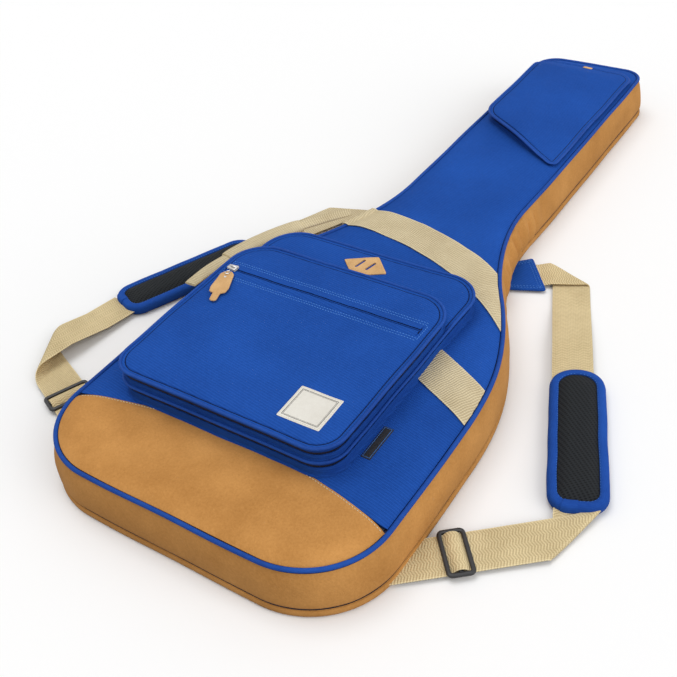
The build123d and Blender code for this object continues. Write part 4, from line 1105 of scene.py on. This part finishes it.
def make_zip_end():
    """The stub of webbing folded over the large pocket's zip end."""
    root, tip, half_gap, y_middle = -155.9, -169.6, 0.62, 336
    bend = np.linspace(0.3, 2.8, 6)
    x = np.concatenate([np.linspace(root, tip, 8), tip - half_gap * np.sin(bend), np.linspace(tip, root, 8)])
    z = np.concatenate([np.full(8, half_gap), half_gap * np.cos(bend), np.full(8, -half_gap)])
    pinch = 1 - 0.14 * np.clip((-x - 160) / 10, 0, 1)
    fold = sheet(x[:, None], y_middle + np.linspace(-11, 11, 9) * pinch[:, None],
                 z[:, None] + middle("zip_end_tab")[2])
    piece("zip_end_webbing", "large_cover", webbing(fold, 1.0, RIB_WEBBING), ["zip_end_tab"])


# ---------------------------------------------------------------- shoulder straps
def along(start, degrees, distance):
    """A point in plan at a distance from another."""
    turn = math.radians(degrees)
    return np.array([start[0] + distance * math.cos(turn), start[1] + distance * math.sin(turn)])


def heading(a, b):
    """Direction in degrees from one point to another."""
    return math.degrees(math.atan2(b[1] - a[1], b[0] - a[0]))


def set_flat(at, degrees):
    """Matrix that lays a piece made at the origin on the floor, turned in plan."""
    return place((*at, 0.0), (*along((0, 0), degrees, 1), 0))


def folded_strap(start, crease_at, end, half, radius, level, over=True, rows=(60, 16, 80), columns=13):
    """Middle surface of a strap that runs to a crease, turns there above or below itself, and runs on."""
    first, second = heading(start, crease_at), heading(crease_at, end)
    across_fold = (first + second) / 2 - 90
    if math.cos(math.radians(across_fold - first)) < 0:
        across_fold += 180
    fold_way, way, left = (along((0, 0), degrees, 1) for degrees in (across_fold, first, first + 90))
    way_on = way - 2 * (way @ fold_way) * fold_way
    left_on = np.array([-way_on[1], way_on[0]])
    girth = math.pi * radius
    crease_at = np.array(crease_at, float) - girth * (fold_way @ left_on) / (way @ left_on) * way
    start = np.array(start, float)
    w = np.linspace(-half, half, columns)
    at_fold = ((crease_at - start) @ fold_way - w * (left @ fold_way)) / (way @ fold_way)
    after_fold = at_fold + girth / (way @ fold_way)
    total = (crease_at - start) @ way + (np.array(end) - crease_at) @ way_on + girth * (fold_way @ way)
    s = np.vstack([np.linspace(0 * w, at_fold, rows[0]), np.linspace(at_fold, after_fold, rows[1])[1:],
                   np.linspace(after_fold, total + 0 * w, rows[2])[1:]])
    flat = start + s[..., None] * way + w[None, :, None] * left
    q = (flat - crease_at) @ fold_way
    bend = np.clip(q / radius, 0, math.pi)
    shift = np.where(q > 0, radius * np.sin(bend) - np.clip(q - girth, 0, None) - q, 0)
    rise = radius * (1 - np.cos(bend)) * (1 if over else -1)
    z = np.interp(s / total, *np.array(level).T) + rise
    return raised(flat + shift[..., None] * fold_way, z), sheet(w, s)


# For each side: which way it faces, its pad's middle and direction, its folds with their roll's radius and
# the strap's level along its run, and where the buckle sits from the lower end of the webbing.
STRAPS = {
    "right": {
        "hand": 1, "cloth": WEBBING, "pad_at": (287.0, 331.0), "pad_turn": -67.2, "pad_shift": 5.0,
        "top_fold": (166.0, 603.0), "top_roll": 2.2,
        "top_level": [(0, 3.9), (0.06, 3.9), (0.11, 6.0), (0.45, 6.0), (0.75, 14.4), (1, 15.4)],
        "low_fold": (337.0, 211.0), "low_roll": 1.8,
        "low_level": [(0, 6.0), (0.16, 2.2), (0.45, 1.6), (0.75, 1.2), (1, 1.2)],
        "buckle_from": (332.0, 196.0), "buckle_way": 215.9, "buckle_off": 106.0},
    "left": {
        "hand": -1, "cloth": RIB_WEBBING, "pad_at": (-286.0, 375.0), "pad_turn": -113.6, "pad_shift": 0.0,
        "top_fold": (-176.0, 612.0), "top_roll": 1.5,
        "top_level": [(0, 3.9), (0.1, 3.9), (0.2, 4.6), (0.75, 4.2), (1, 6.0)],
        "low_fold": (-346.0, 150.0), "low_roll": 8.5,
        "low_level": [(0, 7.0), (0.15, 9.0), (0.33, 19.2), (0.48, 19.2), (0.62, 22.2), (0.92, 22.2), (1, 21.0)],
        "buckle_from": (-350.0, 168.0), "buckle_way": -31.5, "buckle_off": 102.0},
}
ANCHOR_AT, ANCHOR_TURN = (139.5, 592.5), 32.8
ANCHOR_CORNERS = ((-9, -36), (-15, 35), (-62, 25), (-62, -26))
PAD_CORNERS, PAD_RADII = [(-104, -31), (104, -31), (104, 31), (-104, 31)], [30, 22, 22, 30]
PAD_ROLL = [(-10.0, 12.8), (-9.7, 14.0), (-8.8, 14.7), (-6.0, 14.9), (-3.0, 14.4), (-1.0, 12.8), (0.0, 9.8),
            (0.0, 6.0), (-0.9, 3.0), (-2.8, 1.0), (-6.0, 0.3), (-9.0, 0.6), (-9.6, 2.0), (-9.6, 8.0)]
BUCKLE_HOOP = [(-0.9, 5.4), (-0.1, 6.1), (0, 7.3), (-0.4, 8.6), (-1.5, 9.3), (-3.2, 9.3), (-4.4, 8.7),
               (-4.9, 7.3), (-4.6, 6.1), (-3.8, 5.4)]
BUCKLE_LOOP = [(-9.2, 5.6), (-8.4, 5.9), (-7.0, 7.4), (-5.0, 9.4), (-2.6, 10.5), (0, 10.8), (2.6, 10.5),
               (5.0, 9.4), (7.0, 7.4), (8.4, 5.9), (9.2, 5.6)]


def make_pad(side, strap):
    """A shoulder pad: air mesh over foam, with a wide rolled binding."""
    outline = rounded_loop(PAD_CORNERS, PAD_RADII, 3.0)
    outline = grown(outline, 0.35 * ripple(outline, 45, 91))
    field = grown(outline, -8.6)
    set_down = set_flat(strap["pad_at"], strap["pad_turn"])
    turn = np.array(set_down.to_3x3())[:2, :2]

    def level(points):
        return 12.6 + 3.1 * crowned(depth_in(points, field), 15) + 0.25 * ripple(points, 30, 92)

    def pad_lay(points):
        return (points[:, :2] - strap["pad_at"]) @ turn

    def pad_play(points):
        depth = depth_in(pad_lay(points), field)
        return 1.8 * np.clip((depth - 1.5) / 7, 0, 1) * (points[:, 2] > 6)
    cushion = slab(field, level, [(1.5, 10.5), (1.8, 7), (1.2, 3.5), (0, 1.2)], MESH, FOAM, FOAM, spacing=4.5,
                   insets=(1.2, 3, 5.5))
    pad = piece(f"pad_cushion_{side}", "tray", moved(cushion, set_down), [f"shoulder_pad_{side}"])
    swelled(pad, MESH, pad_lay, pad_play)
    lap = [(margin + (0.7 if margin > -8 else -0.5), height + (0.8 if height > 5 else 0))
           for margin, height in PAD_ROLL]
    at_lap = (outline[:, 0] > 60) & (np.abs(outline[:, 1] + 9) < 11)
    binding = trim(outline, PAD_ROLL, BINDING) + trim(outline, lap, BINDING, at_lap)
    seam = stitched_round(outline, 9.3, 14.15, BLUE_THREAD, 2.4, 1.4, 0.25)
    piece(f"pad_edge_{side}", "tray", moved(binding + seam, set_down), [f"pad_binding_{side}"])


def make_anchor(side, hand):
    """The stitched cloth tab that a strap starts under."""
    turn = math.radians(ANCHOR_TURN)
    quad = [(hand * (ANCHOR_AT[0] + math.cos(turn) * x - math.sin(turn) * y),
             ANCHOR_AT[1] + math.sin(turn) * x + math.cos(turn) * y) for x, y in ANCHOR_CORNERS]
    tab = rounded_loop(quad[::hand], [3, 3, 2, 2], 3.0)
    cloth = slab(tab, lambda p: 5.5 + 0.25 * ripple(p, 20, 93), [(0.5, 4.4), (0.5, 3.4), (0, 2.9)], TWILL,
                 spacing=5, insets=(1.0, 2.5))
    for inset in (3.5, 7.0):
        cloth += stitched_round(tab, inset, 5.7, BLUE_THREAD, 2.6, 1.4, 0.3)
    piece(f"anchor_cloth_{side}", "tray", cloth, [f"strap_anchor_{side}"])


def make_straps(side, strap):
    """One shoulder strap: its anchor, the webbing above and below the pad, and the buckle."""
    hand, pad_at, pad_turn = strap["hand"], strap["pad_at"], strap["pad_turn"]
    make_anchor(side, hand)
    start = along((hand * ANCHOR_AT[0], ANCHOR_AT[1]), ANCHOR_TURN if hand > 0 else 180 - ANCHOR_TURN, -28)
    end = along(along(pad_at, pad_turn, -84), pad_turn - 90, strap["pad_shift"])
    surface, uv = folded_strap(start, strap["top_fold"], end, UPPER_STRAP_HALF, strap["top_roll"],
                               strap["top_level"], over=hand < 0)
    sag = 0.5 * ripple(surface.reshape(-1, 3), 46, 95).reshape(surface.shape[:2])
    surface[..., 2] += sag * np.clip(surface[..., 2] / 6, 0, 1)
    piece(f"strap_upper_{side}", "tray", webbing(surface, WEBBING_THICK, strap["cloth"], uv),
          [f"shoulder_strap_upper_{side}"], sharp=60)

    crease, buckle = strap["low_fold"], along(strap["buckle_from"], strap["buckle_way"], strap["buckle_off"])
    way = heading(crease, buckle)
    surface, uv = folded_strap(along(pad_at, pad_turn, 99), crease,
                               along(crease, way, math.dist(crease, buckle) + 84), LOWER_STRAP_HALF,
                               strap["low_roll"], strap["low_level"], over=hand > 0)
    piece(f"strap_lower_{side}", "tray", webbing(surface, WEBBING_THICK, WEBBING, uv),
          [f"shoulder_strap_lower_{side}"], sharp=60)
    make_buckle(side, set_flat(buckle, way))


def make_buckle(side, set_down):
    """The three-bar buckle and the webbing that goes over its middle bar."""
    hoop = trim(turned_box((0, 0), (29, 57), 0.0, 6.5), BUCKLE_HOOP, PLASTIC)
    bar = round_box((4.8, 49, 3.2), 1.1, PLASTIC, (0, 0, 7.2))
    piece(f"buckle_{side}", f"adjuster_{side}", moved(hoop + bar, set_down), [f"strap_adjuster_{side}"])
    x, z = np.array(BUCKLE_LOOP).T
    loop = webbing(sheet(x[:, None], np.linspace(-23.1, 23.1, 11), z[:, None]), 1.7, WEBBING)
    piece(f"buckle_webbing_{side}", f"adjuster_{side}", moved(loop, set_down), [f"adjuster_loop_{side}"],
          sharp=60)


# ---------------------------------------------------------------- sliders and pulls
# Each slider with its body, the way its nose points along Y, and its plate's width; all but the last
# carry a pull, whose node and body are named like the slider's.
SLIDERS = (("main_slider_low", "main_slider_low", -1, 9.0), ("main_slider_high", "main_slider_high", 1, 9.0),
           ("large_pocket_slider", "large_slider", -1, 9.0), ("front_pocket_slider", "front_slider", -1, 9.0),
           ("neck_pocket_slider", "neck_slider", -1, 4.6))
PULL_SIDE = [(2.0, 4.4), (7, 8.2), (20, 9.6), (33, 11.2), (41, 9.8), (44, 4.4), (56.2, 4.0), (57.9, 1.6)]
PULL_RADII = [1.0, 2.6, 12, 8, 2.4, 1.2, 1.0, 0.7]
PULL_RING = [(0.6, -2.1, 0), (0.0, 0, 0), (0.6, 2.1, 0), (4, 2.9, 1.6), (8.0, 2.2, 2.0), (9.0, 0, 2.1),
             (8.0, -2.2, 2.0), (4, -2.9, 1.6), (0.6, -2.1, 0)]


def slider_shape(wide=9.0, deep=4.0):
    """Patches of a zip slider lying on its tape at the origin, its nose along +X."""
    plate = round_box((12.6, wide, 1.3), 0.55, METAL)
    for points, *_ in plate:
        points[:, 1] *= 1 - 0.26 * np.clip(points[:, 0] / 6.3, -0.2, 1)
    plates = [part for z in (0.65, deep - 1.5) for part in moved(plate, Matrix.Translation((0, 0, z)))]
    post = round_box((3.0, wide * 0.5, deep - 1.2), 0.4, METAL, (3.4, 0, deep / 2))
    bow = [(x, 0, deep + z) for x, z in ((-4.6, -1.2), (-4.4, -0.4), (-3.0, 0.1), (0, 0.25), (3.0, 0.1),
                                         (4.4, -0.4), (4.6, -1.2))]
    return plates + post + tube(bow, 0.75, 0.75, METAL, 8, up=(0.3, 1.0, 0.2))


def pull_shape(width=0.62):
    """Patches of a leather pull whose pin is at the origin, hanging along +X in its own plane."""
    side = [(x, y * width) for x, y in PULL_SIDE]
    outline = rounded_loop([(x, -y) for x, y in side] + side[::-1], PULL_RADII + PULL_RADII[::-1], 1.2)
    hide = slab(outline, lambda p: 0.65 + 0.55 * crowned(depth_in(p, outline), 1.3),
                [(0.25, 0.2), (0.25, -0.5), (-0.3, -1.15)], LEATHER, spacing=2.0, insets=(0.5, 1.1))
    ring = tube(evenly(rounded_path(PULL_RING, 2), 1.0)[:-1], 0.6, 0.6, METAL, 8, ring=True)
    seam = stitched_round(outline, 1.7, 1.15, TAN_THREAD, 1.6, 1.0, 0.18)
    return hide + ring + seam + round_box((3.0, 3.0, 0.9), 0.4, METAL, (13.5, 0, 1.3))


def make_sliders():
    """Every slider and leather pull at its node's place."""
    for slider, body, along_y, wide in SLIDERS:
        at, right, left = middle(slider), high(slider)[0], low(slider)[0]
        set_up = place((right, at[1], at[2]), (0, along_y, 0), (-1, 0, 0))
        piece(f"{slider}_metal", body, moved(slider_shape(wide, right - left), set_up), [slider])
    for slider, slider_body, along_y, _ in SLIDERS[:-1]:
        pull, body = slider.replace("slider", "pull"), slider_body.replace("slider", "pull")
        at = middle(pull)
        at[1] = (low(pull) if along_y > 0 else high(pull))[1] - along_y * 1.2
        piece(f"{pull}_leather", body, moved(pull_shape(), place(at, (0, along_y, 0), (-1, 0, 0))),
              [pull])
    x, y, z = *middle("face_slider")[:2], low("face_slider")[2]
    piece("face_slider_metal", "face_slider", moved(slider_shape(), place((x, y, z), (-1, 0, 0))),
          ["face_slider"])
    set_down = place((x, y - 7.0, z + 1.5), (*along((0, 0), -72, 1), 0))
    piece("face_pull_leather", "face_pull", moved(pull_shape(1.0), set_down), ["face_pull"])


make_tray()
make_neck_rest()
make_wall()
make_front()
make_bands()
make_handle()
make_pockets()
make_labels()
make_zip_end()
for hand, sizes in STRAPS.items():
    make_pad(hand, sizes)
    make_straps(hand, sizes)
make_sliders()


# ---------------------------------------------------------------- floor and light
FLOOR_HALF, FLOOR_LEVEL = 12.0, -0.0005
FLOOR_IN_LIGHT, FLOOR_SEEN = (0.34, 0.34, 0.34, 1), (0.97, 0.97, 0.97, 1)
WORLD_LEVEL = 0.5
LAMPS = (("key", 1.0, (0.25, -0.05, -1.0), 40), ("fill", 1.5, (-0.95, 0.1, -0.5), 60))


def seen_directly(tree):
    """1 where the camera sees a thing itself, in a mirror or through glass, and 0 for its light on others."""
    seen = shader_node(tree, "ShaderNodeLightPath").outputs
    return calc(tree, "MAXIMUM", seen["Is Camera Ray"],
                calc(tree, "MAXIMUM", seen["Is Glossy Ray"], seen["Is Transmission Ray"]))


def make_stage():
    """A pale floor that looks white to the camera but keeps the bag's shadow, and soft studio light."""
    floor = in_scene("floor", bpy.data.meshes.new("floor"))
    corners = [(x * FLOOR_HALF, y * FLOOR_HALF, FLOOR_LEVEL) for x, y in ((-1, -1), (1, -1), (1, 1), (-1, 1))]
    floor.data.from_pydata(corners, [], [(0, 1, 2, 3)])
    pale = bpy.data.materials.new("pale_floor")
    pale.use_nodes = True
    tree = pale.node_tree
    skin = tree.nodes["Principled BSDF"]
    feed(tree, skin.inputs["Base Color"], blend_colour(tree, seen_directly(tree), FLOOR_IN_LIGHT, FLOOR_SEEN))
    skin.inputs["Roughness"].default_value = 0.9
    skin.inputs["Specular IOR Level"].default_value = 0.1
    floor.data.materials.append(pale)

    world = bpy.data.worlds.new("studio")
    bpy.context.scene.world = world
    world.use_nodes = True
    tree = world.node_tree
    sky = tree.nodes["Background"]
    sky.inputs[0].default_value = (1.0, 1.0, 1.0, 1)
    feed(tree, sky.inputs[1], calc(tree, "MULTIPLY_ADD", seen_directly(tree), 1.0 - WORLD_LEVEL, WORLD_LEVEL))
    for name, energy, ahead, size in LAMPS:
        lamp = in_scene(name, bpy.data.lights.new(name, "SUN"))
        lamp.data.energy = energy
        lamp.data.angle = math.radians(size)
        lamp.rotation_mode = "QUATERNION"
        lamp.rotation_quaternion = Vector(ahead).to_track_quat("-Z", "Y")


make_stage()
bpy.context.scene.view_settings.view_transform = "Standard"
